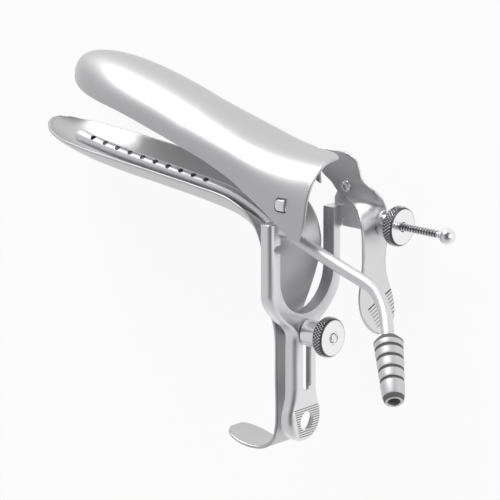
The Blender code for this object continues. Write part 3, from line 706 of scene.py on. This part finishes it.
def yoke_outline(outer, inner=0.0):
    """The fork seen from the operator, as (y, z), drawn in from its outer and inner edges."""
    top = ARM_TOP - inner
    right = [(ARM_IN + inner, top), (ARM_OUT - outer, top)]
    side = [(ARM_OUT - outer, SHOULDER_Z + 0.0020), (ARM_OUT - outer, SHOULDER_Z)]
    side += [(y - outer, z) for y, z in SHOULDER]
    side += [(SHANK_HALF - outer, SHANK_TOP_Z), (SHANK_HALF - outer, SHANK_TOP_Z - 0.0040)]
    right += flowing(side, 26)
    neck = [(SHANK_HALF - outer, SLOT_BOTTOM + 0.0040), (SHANK_HALF - outer, SLOT_BOTTOM)]
    neck += [(PAD_HALF * cos(radians(37)) - outer, PAD_NECK_Z)]
    neck += arc((0, PAD_Z), PAD_HALF - outer, 14, -6, 1)
    right += flowing(neck, 18)
    right += arc((0, PAD_Z), PAD_HALF - outer, -6, -90, 22)[1:]
    left = [(-y, z) for y, z in reversed(right[:-1])]
    return right + left + arc((0, FORK_CENTRE_Z), ARM_IN + inner, 180, 360, 64)


def pressing(name, finish, rear, front, roll, wall, steps=10):
    """A fork plate whose outer edge rolls back, as rings of its outline from rear to front."""
    bm = bmesh.new()
    levels = [(rear, 0.0)]
    levels += [(front - roll * (1 - sin(t)), roll * (1 - cos(t)))
               for t in (pi / 2 * k / steps for k in range(steps + 1))]
    rings = []
    for x, inset in levels:
        rings.append([bm.verts.new((x, y, z)) for y, z in yoke_outline(wall + inset, wall)])
    for first, second in zip(rings, rings[1:]):
        stitch(bm, first, second)
    bm.faces.new(rings[0])
    bm.faces.new(rings[-1])
    return put(bm, name, finish)


def ear(outline, y, name):
    """A flat cheek of sheet across the hinge line."""
    return prism(outline, "y", y - SHEET / 2, y + SHEET / 2, name, FINISHES["yoke"])


def yoke():
    """The fork: a rolled pressing, its two ears, then its slot, notch, bores, grooves and hole."""
    rear = YOKE_FRONT - YOKE_DEPTH
    plate = pressing("yoke_plate", FINISHES["yoke"], rear, YOKE_FRONT, YOKE_ROLL, 0.0)
    hollow = pressing("yoke_hollow", FINISHES["yoke"], rear - 0.001, YOKE_FRONT - YOKE_WALL,
                      YOKE_ROLL - YOKE_WALL, YOKE_WALL)
    cut(plate, [hollow])
    eye = arc((0, 0), EAR_HALF, 6, 174, 24)
    foot = ARM_TOP - 0.0040
    near = [(-EAR_HALF, foot), (EAR_HALF / 4, foot), (EAR_HALF, 0.0)] + eye + [(-EAR_HALF, 0.0)]
    low = SCREW.z - 0.0036
    back, nose = rear + YOKE_WALL / 2, EAR_HALF * 1.35
    far = [(back, low), (nose, low), (nose, -nose), (EAR_HALF, 0.0)] + eye + [(back, -nose)]
    front = YOKE_FRONT - YOKE_WALL / 3
    root = [(back, low), (front, low), (front, ARM_TOP - FIT), (back, ARM_TOP - FIT)]
    seat = prism(root, "y", ARM_OUT - YOKE_ROLL - YOKE_WALL, FAR_EAR_Y,
                 "far_ear_root", FINISHES["yoke"])
    cut(plate, [ear(near, NEAR_EAR_Y, "near_ear"), ear(far, FAR_EAR_Y, "far_ear"), seat], "UNION")
    radius = SLOT_WIDE / 2
    slot = arc((0, STUD.z + radius), radius, 0, 180, 24)
    slot += arc((0, SLOT_BOTTOM + radius), radius, 180, 360, 24)
    through = (rear - 0.002, YOKE_FRONT + 0.002)
    cutters = [prism(slot, "x", *through, "shank_slot")]
    y, z, radius = NOTCH
    notch = arc((y, z), radius, 90, 270, 18)
    notch += [(-ARM_IN + 0.002, z - radius), (-ARM_IN + 0.002, z + radius)]
    cutters.append(prism(notch, "x", *through, "arm_notch"))
    bore = PIVOT_D / 2 + FIT
    for name, y in (("near_bore", NEAR_EAR_Y), ("far_bore", FAR_EAR_Y)):
        profile = [(-0.002, bore), (0.002, bore)]
        cutters.append(turned(profile, (0, y, 0), (0, 1, 0), name, None, 40))
    cut(plate, cutters)
    soften(plate, 0.0002, 50)
    level = YOKE_FRONT + 0.00004
    grooves = filed("pad_grooves", PAD_GROOVES, (level, PAD_GROOVE_LEFT, PAD_GROOVE_TOP),
                    (level, 0.0110, PAD_GROOVE_TOP), (0, PAD_GROOVE_LEFT_STEP, -PAD_GROOVE_PITCH),
                    (0, 0, -PAD_GROOVE_PITCH), 0.00024)
    hole = arc((0, PAD_HOLE_Z), PAD_HOLE_D / 2, 0, 354, 59)
    return cut(plate, [grooves, prism(hole, "x", *through, "pad_hole")])


def soften(piece, width, angle):
    """Rounds the edges sharper than an angle a little, and keeps flat faces flat."""
    modifier = piece.modifiers.new("edges", "BEVEL")
    modifier.width = width
    modifier.segments = 2
    modifier.limit_method = "ANGLE"
    modifier.angle_limit = radians(angle)
    modifier.use_clamp_overlap = False
    normals = piece.modifiers.new("even_normals", "WEIGHTED_NORMAL")
    normals.keep_sharp = True
    return settle(piece, 180)


# Pins, screw and nuts

SCREW_PIN_D = 0.0020
EYE_LONG = 0.0036
EYE_D = 0.0056
RIM_EDGE = 0.0004


def dome(start, head, rise, steps=6):
    """The profile of a low domed head whose rim is at start, from its top to its rim."""
    points = []
    for k in range(steps):
        t = pi / 2 * (k + 0.35) / (steps - 0.65)
        points.append((start - rise * cos(t), head / 2 * sin(t)))
    return points


def near_hinge_stud():
    """A short stud in the near ear, with the D-shaped tongue that fills the blade's slot."""
    seat = NEAR_EAR_Y - SHEET / 2 - FIT
    inside = NEAR_EAR_Y + SHEET / 2 + FIT
    profile = [(seat - 0.0005, PIVOT_D / 2), (inside, PIVOT_D / 2)]
    profile += [(inside, 0.0023), (inside + 0.0004, 0.0021), (inside + 0.0007, 0.0014)]
    stud = turned(profile, (0, 0, 0), (0, 1, 0), "near_hinge_stud_turned", FINISHES["polished"], 48)
    outline = tongue_outline(TONGUE_SLOT / 2 - 0.0007)
    tongue = prism(outline, "y", -SKIRT_HALF - SHEET / 2, seat,
                   "hinge_tongue", FINISHES["polished"])
    cut(stud, [tongue], "UNION")
    return soften(stud, 0.00018, 50)


def far_hinge_rivet():
    """A rivet through lever and far ear, domed at both ends."""
    start = LEVER_Y - SHEET / 2 - FIT
    end = FAR_EAR_Y + SHEET / 2 + FIT
    head = dome(start, 0.0046, 0.0008)
    profile = head + [(start, PIVOT_D / 2), (end, PIVOT_D / 2)]
    profile += [(start + end - along, radius) for along, radius in reversed(head)]
    return turned(profile, (0, 0, 0), (0, 1, 0), "far_hinge_rivet_turned", FINISHES["polished"], 48)


def screw_pin():
    """The pin that the screw's eye tilts on, headed on the outside."""
    radius = SCREW_PIN_D / 2
    start = FAR_EAR_Y - SHEET / 2 - FIT
    end = SCREW.y + EYE_LONG / 2 + FIT
    profile = [(start, 0.0008), (start + 0.0002, radius), (end, radius), (end, 0.0016)]
    profile += [(end + 0.0003, 0.0016), (end + 0.0006, 0.0013), (end + 0.0008, 0.0008)]
    place = (SCREW.x, 0, SCREW.z)
    return turned(profile, place, (0, 1, 0), "screw_pin_turned", FINISHES["polished"], 40)


def opening_screw():
    """The plain core of the rod with its eye and its ball; the thread is wound on it."""
    crest = ROD_D / 2
    root = crest - THREAD_DEEP
    ball = BALL_D / 2
    reach = BALL_X - SCREW.x
    neck = (ball**2 - root**2) ** 0.5
    profile = [(0.0017, crest * 0.7), (0.0031, crest), (0.0066, crest), (THREAD_FROM, root)]
    profile += [(reach - neck - 0.0014, root), (reach - neck - 0.0010, crest * 0.94)]
    for k in range(1, 26):
        angle = pi - 0.52 - (pi - 0.52 - 0.06) * k / 26
        profile.append((reach + ball * cos(angle), ball * sin(angle)))
    rod = turned(profile, SCREW, (1, 0, 0), "opening_screw_rod", FINISHES["thread"], 64, sharp=35)
    low, outer, edge = SCREW.y - EYE_LONG / 2, EYE_D / 2, 0.0002
    profile = [(0, outer - edge), (edge, outer), (EYE_LONG - edge, outer), (EYE_LONG, outer - edge)]
    eye = turned(profile, (SCREW.x, low, SCREW.z), (0, 1, 0), "screw_eye", FINISHES["polished"], 56)
    cut(rod, [eye], "UNION")
    bore = SCREW_PIN_D / 2 + FIT
    drill = turned([(0, bore), (0.008, bore)], (SCREW.x, low - 0.002, SCREW.z), (0, 1, 0),
                   "eye_bore", None, 40)
    return cut(rod, [drill])


def rim_profile(start, length, outer, bore, edge):
    """A disc's closed profile with rounded rims and a bore."""
    profile = [(start, bore), (start, outer - edge)]
    profile += round_edge(start, outer, edge, 1)[1:]
    profile += round_edge(start + length, outer, edge, -1)[:-1]
    return profile + [(start + length, outer - edge), (start + length, bore)]


def opening_collar():
    profile = rim_profile(0, COLLAR_LONG, COLLAR_D / 2, ROD_D / 2 + FIT, RIM_EDGE)
    start = (COLLAR_REAR_X, SCREW.y, SCREW.z)
    return turned(profile, start, (1, 0, 0), "opening_collar_turned", FINISHES["polished"], 72,
                  bored=True)


KNURL_RISE = 0.0007
KNURL_AROUND = 38
KNURL_ROWS = 4
NUT_START = (COLLAR_REAR_X + COLLAR_LONG + FIT, SCREW.y, SCREW.z)
THUMB_START = (YOKE_FRONT + FIT, 0.0, STUD.z)
THUMB_RIM = (YOKE_FRONT + FIT + HUB_LONG, 0.0, STUD.z)
# Each knurl's hollows get painted shade in its finish
for name, centre in (("opening_knurl", NUT_START), ("thumb_knurl", THUMB_RIM)):
    shade = hollow_painted_shade(centre, (1, 0, 0), NUT_D / 2, KNURL_RISE, NUT_RIM)
    FINISHES[name] = steel(name + "_steel", 0.90, 0.22, 0.02, detail=shade)


def opening_nut_body():
    profile = rim_profile(0, NUT_RIM, NUT_D / 2 - KNURL_RISE, ROD_D / 2 + FIT, RIM_EDGE)
    return turned(profile, NUT_START, (1, 0, 0), "opening_nut_body", FINISHES["opening_knurl"], 96,
                  bored=True)


def thumb_nut_body():
    """The nut's hub, a small fillet, its rim, and the shallow ring round its bore."""
    bore = STUD_D / 2 + FIT
    hub = HUB_D / 2
    outer = NUT_D / 2 - KNURL_RISE
    end = HUB_LONG + NUT_RIM
    profile = [(0, bore), (0, hub - RIM_EDGE), (RIM_EDGE, hub), (HUB_LONG - 0.0006, hub)]
    profile += [(HUB_LONG - 0.0002, hub + 0.0001), (HUB_LONG, hub + 0.0006)]
    profile += [(HUB_LONG, outer - RIM_EDGE)] + round_edge(HUB_LONG, outer, RIM_EDGE, 1)[1:]
    profile += round_edge(end, outer, RIM_EDGE, -1)[:-1] + [(end, outer - RIM_EDGE)]
    profile += [(end, bore + 0.0009), (end - 0.0003, bore + 0.0007), (end - 0.0003, bore + 0.0002)]
    profile += [(end - 0.0002, bore)]
    return turned(profile, THUMB_START, (1, 0, 0), "thumb_nut_body", FINISHES["thumb_knurl"], 96,
                  bored=True)


def handle_stud():
    """The stud through the shank, with a domed end and the square guide that fills the slot."""
    start = STUD.x
    long = YOKE_FRONT + FIT + HUB_LONG + NUT_RIM - start
    profile = [(0, STUD_D / 2), (long - 0.0001, STUD_D / 2), (long + 0.0003, STUD_D * 0.44)]
    profile += [(long + 0.0006, STUD_D * 0.30)]
    stud = turned(profile, (start, 0, STUD.z), (1, 0, 0),
                  "handle_stud_turned", FINISHES["polished"], 48)
    half = SLOT_WIDE / 2 - FIT
    low, high = STUD.z - half, STUD.z + half
    square = [(-half, low), (half, low), (half, high), (-half, high)]
    guide = prism(square, "x", start, start + 0.0080, "stud_guide", FINISHES["polished"])
    return cut(stud, [guide], "UNION")


# The smoke tube and its barb
TUBE_ROUTE = [
    (-0.1164, -0.0104, 0.0084), (-0.0980, -0.0112, 0.0055), (-0.0770, -0.0113, 0.0029),
    (-0.0530, -0.0114, 0.0003), (-0.0340, -0.0118, -0.0022), (-0.0180, -0.0128, -0.0068),
    (-0.0040, -0.0140, -0.0126), (0.0120, -0.0140, -0.0180), (0.0300, -0.0140, -0.0240),
    (0.0420, -0.0140, -0.0282), (0.0461, -0.0146, -0.0307), (0.0497, -0.0160, -0.0338),
    (0.0531, -0.0182, -0.0374), (0.0562, -0.0211, -0.0410), (0.0590, -0.0239, -0.0445),
    (0.0617, -0.0266, -0.0477),
]
HOLE_COUNT = 10
HOLE_FIRST_X = -0.1085
HOLE_STEP = 0.0069
HOLE_D = 0.0024
HOLE_FACING = (0, -0.50, 0.87)


def smoke_tube():
    """A drawn tube with a closed round end, a bore and a row of intake holes."""
    centre = smooth_rows(TUBE_ROUTE, 170)
    heading = unit(np.gradient(centre, axis=0))
    side = unit(np.cross(heading, (0, 1, 0)))
    other = np.cross(heading, side)
    sides = 32
    angles = [2 * pi * k / sides for k in range(sides)]
    bm = bmesh.new()
    shells = []
    for radius in (TUBE_D / 2, TUBE_D / 2 - TUBE_WALL):
        rings = [(centre[0] - heading[0] * radius * cos(t), radius * sin(t), 0)
                 for t in (0.06, 0.3, 0.6, 0.9, 1.2, 1.4)]
        rings += [(centre[i], radius, i) for i in range(len(centre))]
        rows = [[bm.verts.new(middle + size * (cos(a) * side[i] + sin(a) * other[i]))
                 for a in angles] for middle, size, i in rings]
        for first, second in zip(rows, rows[1:]):
            stitch(bm, first, second)
        bm.faces.new(rows[0])
        shells.append(rows)
    stitch(bm, shells[0][-1], shells[1][-1])
    tube = put(bm, "smoke_tube_drawn", FINISHES["tube"], 40)
    drills = []
    for k in range(HOLE_COUNT):
        x = HOLE_FIRST_X + HOLE_STEP * k
        near = centre[np.argmin(abs(centre[:, 0] - x))]
        profile = [(0, HOLE_D / 2), (0.006, HOLE_D / 2)]
        start = (x, near[1], near[2])
        drills.append(turned(profile, start, HOLE_FACING, "intake_%02d" % k, None, 28))
    return cut(tube, drills)


BARB_START = Vector(TUBE_ROUTE[-1]) - BARB_AXIS * BARB_SOCKET
BARB_LINES = (0.0064, 0.0112, 0.0166, 0.0217)
BARB_GROOVE = 0.0012
BARB_NECK = 0.0022
BARB_LIP = 0.0287
# The barb's grooves, neck and mouth lip get painted shade
BARB_GROOVE_PAINTED_SHADE = barb_painted_shade(BARB_START, BARB_AXIS, BARB_LINES, BARB_GROOVE, BARB_NECK, BARB_LIP)
FINISHES["barb"] = steel("ridged_barb_steel", 0.66, 0.52, 0.03, relief=0.015, detail=BARB_GROOVE_PAINTED_SHADE)


def hose_barb():
    """A tapering barb: a sloping neck, lands with narrow grooves between them, a rounded mouth."""
    def land(along):
        return (BARB_TOP_D + (BARB_END_D - BARB_TOP_D) * along / BARB_LONG) / 2

    socket = TUBE_D / 2 + FIT
    profile = [(0, socket), (0, 0.0036), (0.0004, 0.0042), (BARB_NECK, 0.0057), (0.0026, 0.0061)]
    for line in BARB_LINES:
        low, high = line - BARB_GROOVE / 2, line + BARB_GROOVE / 2
        profile += [(low - 0.0012, land(low)), (low - 0.0003, land(low) - 0.00008)]
        profile += [(low, land(low) - 0.00022)]
        profile += [(low + 0.0002, land(low) - 0.0005), (high - 0.0002, land(high) - 0.0005)]
        profile += [(high, land(high) - 0.0001), (high + 0.0003, land(high) + 0.00006)]
    profile += [(BARB_LIP - 0.0006, land(BARB_LIP)), (BARB_LIP, land(BARB_LIP) - 0.0002)]
    profile += [(BARB_LONG - 0.0006, 0.0040), (BARB_LONG - 0.0001, 0.0036), (BARB_LONG, 0.0034)]
    profile += [(BARB_LONG, BARB_BORE_D / 2 + 0.0002), (BARB_LONG - 0.0003, BARB_BORE_D / 2)]
    profile += [(BARB_SOCKET + FIT, BARB_BORE_D / 2 - TUBE_WALL), (BARB_SOCKET + FIT, socket)]
    return turned(profile, BARB_START, BARB_AXIS, "hose_barb_turned", FINISHES["barb"], 96,
                  bored=True, sharp=32)


def knurl_tree():
    """Small pyramids on a diamond lattice round a cylinder that stands along Z."""
    kinds = {"Radius": "Float", "Length": "Float", "Around": "Int", "Rows": "Int",
             "Rise": "Float", "Finish": "Material"}
    tree, nodes, size = tree_of("diamond_knurl", kinds)
    grid = nodes.add("GeometryNodeMeshGrid", None,
                     {"Size X": 1.0, "Size Y": 1.0,
                      "Vertices X": size["Around"], "Vertices Y": size["Rows"]})
    index = nodes.add("GeometryNodeInputIndex")
    column = (index / size["Rows"]).math("FLOOR", index / size["Rows"] + 0.0001)
    row = index - column * size["Rows"]
    odd = nodes.add("ShaderNodeMath", {"operation": "MODULO"}, {0: row, 1: 2.0})
    angle = (column + odd * 0.5) / size["Around"] * (2 * pi)
    height = (row + 1.0) / (size["Rows"] + 1.0) * size["Length"]
    reach = size["Radius"] - size["Rise"] * 0.12
    cosine = nodes.add("ShaderNodeMath", {"operation": "COSINE"}, {0: angle})
    spot = nodes.add("ShaderNodeCombineXYZ", None,
                     {0: cosine * reach, 1: angle.sine() * reach, 2: height})
    points = nodes.add("GeometryNodeSetPosition", None, {0: grid, "Position": spot})
    cone = nodes.add("GeometryNodeMeshCone", None,
                     {"Vertices": 4, "Radius Top": 0.16, "Radius Bottom": 1.0, "Depth": 1.0})
    turn = nodes.add("ShaderNodeCombineXYZ", None, {1: pi / 2, 2: angle})
    wide = size["Radius"] * (2 * pi) / size["Around"] * 0.5
    tall = size["Length"] / (size["Rows"] + 1.0)
    scale = nodes.add("ShaderNodeCombineXYZ", None, {0: tall, 1: wide, 2: size["Rise"] * 1.12})
    rotation = nodes.add("FunctionNodeEulerToRotation", None, {0: turn})
    copies = nodes.add("GeometryNodeInstanceOnPoints", None,
                       {"Points": points, "Instance": cone, "Rotation": rotation, "Scale": scale})
    close_tree(nodes, copies, size["Finish"])
    return tree


def thread_tree():
    """A thread's helical ridge along Z."""
    kinds = {"Radius": "Float", "Length": "Float", "Pitch": "Float",
             "Ridge": "Float", "Finish": "Material"}
    tree, nodes, size = tree_of("screw_thread", kinds)
    helix = nodes.add("GeometryNodeCurveSpiral", None,
                      {"Resolution": 28, "Rotations": size["Length"] / size["Pitch"],
                       "Start Radius": size["Radius"], "End Radius": size["Radius"],
                       "Height": size["Length"]})
    level = nodes.add("GeometryNodeSetCurveNormal", {"mode": "Z_UP"}, {0: helix})
    ridge = nodes.add("GeometryNodeCurvePrimitiveCircle", {"mode": "RADIUS"},
                      {"Resolution": 6, "Radius": size["Ridge"]})
    wound = nodes.add("GeometryNodeCurveToMesh", None,
                      {"Curve": level, "Profile Curve": ridge, "Fill Caps": True})
    close_tree(nodes, wound, size["Finish"])
    return tree


# Set out the instrument

def dress(piece, body, slot, *nodes):
    """A finished piece rides on its body and stands for its nodes; slot is not used."""
    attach(piece, body)
    if nodes:
        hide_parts(*nodes)


dress(posterior_blade(), "posterior_body", "satin_steel", "posterior_blade")
dress(anterior_blade(), "anterior_body", "satin_steel", "anterior_blade")
dress(thumb_lever(), "anterior_body", "satin_steel", "thumb_lever")
dress(yoke(), "yoke_body", "satin_steel", "yoke")
dress(near_hinge_stud(), "yoke_body", "polished_steel", "near_hinge_stud")
dress(far_hinge_rivet(), "yoke_body", "polished_steel", "far_hinge_rivet")
dress(screw_pin(), "yoke_body", "polished_steel", "screw_pin")
dress(opening_screw(), "screw_body", "polished_steel", "opening_screw")
dress(opening_collar(), "collar_body", "polished_steel", "opening_collar")
dress(opening_nut_body(), "opening_nut_body", "knurled_steel", "opening_nut")
dress(thumb_nut_body(), "thumb_nut_body", "knurled_steel", "thumb_nut")
dress(handle_stud(), "posterior_body", "polished_steel", "handle_stud")
dress(smoke_tube(), "posterior_body", "satin_steel", "smoke_tube")
dress(hose_barb(), "posterior_body", "polished_steel", "hose_barb")

knurl = knurl_tree()
margin = 0.0003
for name, place in (("opening", NUT_START), ("thumb", THUMB_RIM)):
    ridges = grown(knurl, name + "_nut_knurl", facing_x(Vector(place) + Vector((margin, 0, 0))),
                   Radius=NUT_D / 2 - KNURL_RISE, Length=NUT_RIM - 2 * margin, Rise=KNURL_RISE,
                   Around=KNURL_AROUND, Rows=KNURL_ROWS, Finish=FINISHES[name + "_knurl"])
    dress(ridges, name + "_nut_body", "knurled_steel")

thread = grown(thread_tree(), "opening_screw_thread", facing_x(SCREW + Vector((THREAD_FROM, 0, 0))),
               Radius=ROD_D / 2 - THREAD_RIDGE, Length=THREAD_LONG, Pitch=THREAD_PITCH,
               Ridge=THREAD_RIDGE, Finish=FINISHES["thread"])
dress(thread, "screw_body", "polished_steel")


# The camera at the photograph's angle, the floor and the studio

AZIMUTH = radians(40)
ELEVATION = radians(15)
PICTURE_WIDE = 500
PIXELS_PER_METRE = 2450
HINGE_PIXEL = (313, 196)
DISTANCE = 3.0
SENSOR = 36

to_right = Vector((cos(AZIMUTH), sin(AZIMUTH), 0))
to_top = Vector((-sin(AZIMUTH) * sin(ELEVATION), cos(AZIMUTH) * sin(ELEVATION), cos(ELEVATION)))
to_camera = to_right.cross(to_top)
across_picture = PICTURE_WIDE / 2 - HINGE_PIXEL[0]
up_picture = HINGE_PIXEL[1] - PICTURE_WIDE / 2
aim = (to_right * across_picture + to_top * up_picture) / PIXELS_PER_METRE

lens = bpy.data.cameras.new("long_lens")
lens.sensor_width = SENSOR
lens.lens = SENSOR * DISTANCE * PIXELS_PER_METRE / PICTURE_WIDE
lens.clip_start = 0.1
lens.clip_end = 20
camera = bpy.data.objects.new("camera", lens)
bpy.context.scene.collection.objects.link(camera)
view = Matrix((to_right, to_top, to_camera)).transposed().to_4x4()
view.translation = aim + to_camera * DISTANCE
camera.matrix_world = SET_DOWN @ view
bpy.context.scene.camera = camera


PAPER_GLOW = 0.92


def paper():
    """White paper: plain white where it is seen or mirrored, with the object's soft shadow."""
    material = bpy.data.materials.new("white_paper")
    material.use_nodes = True
    nodes = Nodes(material.node_tree)
    material.node_tree.nodes.remove(material.node_tree.nodes["Principled BSDF"])
    matt = nodes.add("ShaderNodeBsdfDiffuse", None, {"Color": (0.88, 0.88, 0.88, 1)})
    white = nodes.add("ShaderNodeEmission", None, {"Color": (1, 1, 1, 1), "Strength": 1.0})
    ray = nodes.tree.nodes.new("ShaderNodeLightPath")
    seen = Value(nodes, ray.outputs["Is Camera Ray"])
    mirrored = Value(nodes, ray.outputs["Is Glossy Ray"])
    through = Value(nodes, ray.outputs["Is Transmission Ray"])
    share = (seen + mirrored + through).least(1.0) * PAPER_GLOW
    mixed = nodes.add("ShaderNodeMixShader", None, {0: share, 1: matt, 2: white})
    nodes.feed(mixed, material.node_tree.nodes["Material Output"].inputs["Surface"])
    return material


def floor():
    """A square of paper under the instrument, far wider than the picture."""
    bm = bmesh.new()
    bmesh.ops.create_grid(bm, x_segments=1, y_segments=1, size=2.5)
    mesh = bpy.data.meshes.new("floor")
    bm.to_mesh(mesh)
    bm.free()
    mesh.materials.append(paper())
    piece = bpy.data.objects.new("floor", mesh)
    bpy.context.scene.collection.objects.link(piece)
    return piece


def softbox(name, toward, distance, size, power):
    """A square area light in a direction from the instrument, in the instrument's frame."""
    data = bpy.data.lights.new(name, "AREA")
    data.shape = "SQUARE"
    data.size = size
    data.energy = power
    lamp = bpy.data.objects.new(name, data)
    bpy.context.scene.collection.objects.link(lamp)
    way = (SET_DOWN.to_3x3() @ Vector(toward)).normalized()
    lamp.location = SET_DOWN @ aim + way * distance
    lamp.rotation_euler = (-way).to_track_quat("-Z", "Y").to_euler()
    return lamp


def studio():
    """A soft grey room: darker towards the camera, lighter above and to the sides."""
    world = bpy.data.worlds.new("studio")
    world.use_nodes = True
    nodes = Nodes(world.node_tree)
    way = nodes.add("ShaderNodeTexCoord", output="Generated")
    front = (SET_DOWN.to_3x3() @ to_camera).normalized()
    facing = nodes.vector("DOT_PRODUCT", way, tuple(front), output=1)
    tone = facing.ramp(0.42, 0.97, 0.68, 0.12)
    nodes.feed(tone, world.node_tree.nodes["Background"].inputs["Strength"])
    world.node_tree.nodes["Background"].inputs["Color"].default_value = (1.0, 1.0, 1.01, 1)
    bpy.context.scene.world = world


floor()
studio()
softbox("key", (-0.31, -0.26, 0.93), 1.2, 0.60, 9.0)
softbox("side", (1.0, -0.15, 0.25), 1.4, 0.9, 3.5)
bpy.context.scene.view_settings.view_transform = "Standard"
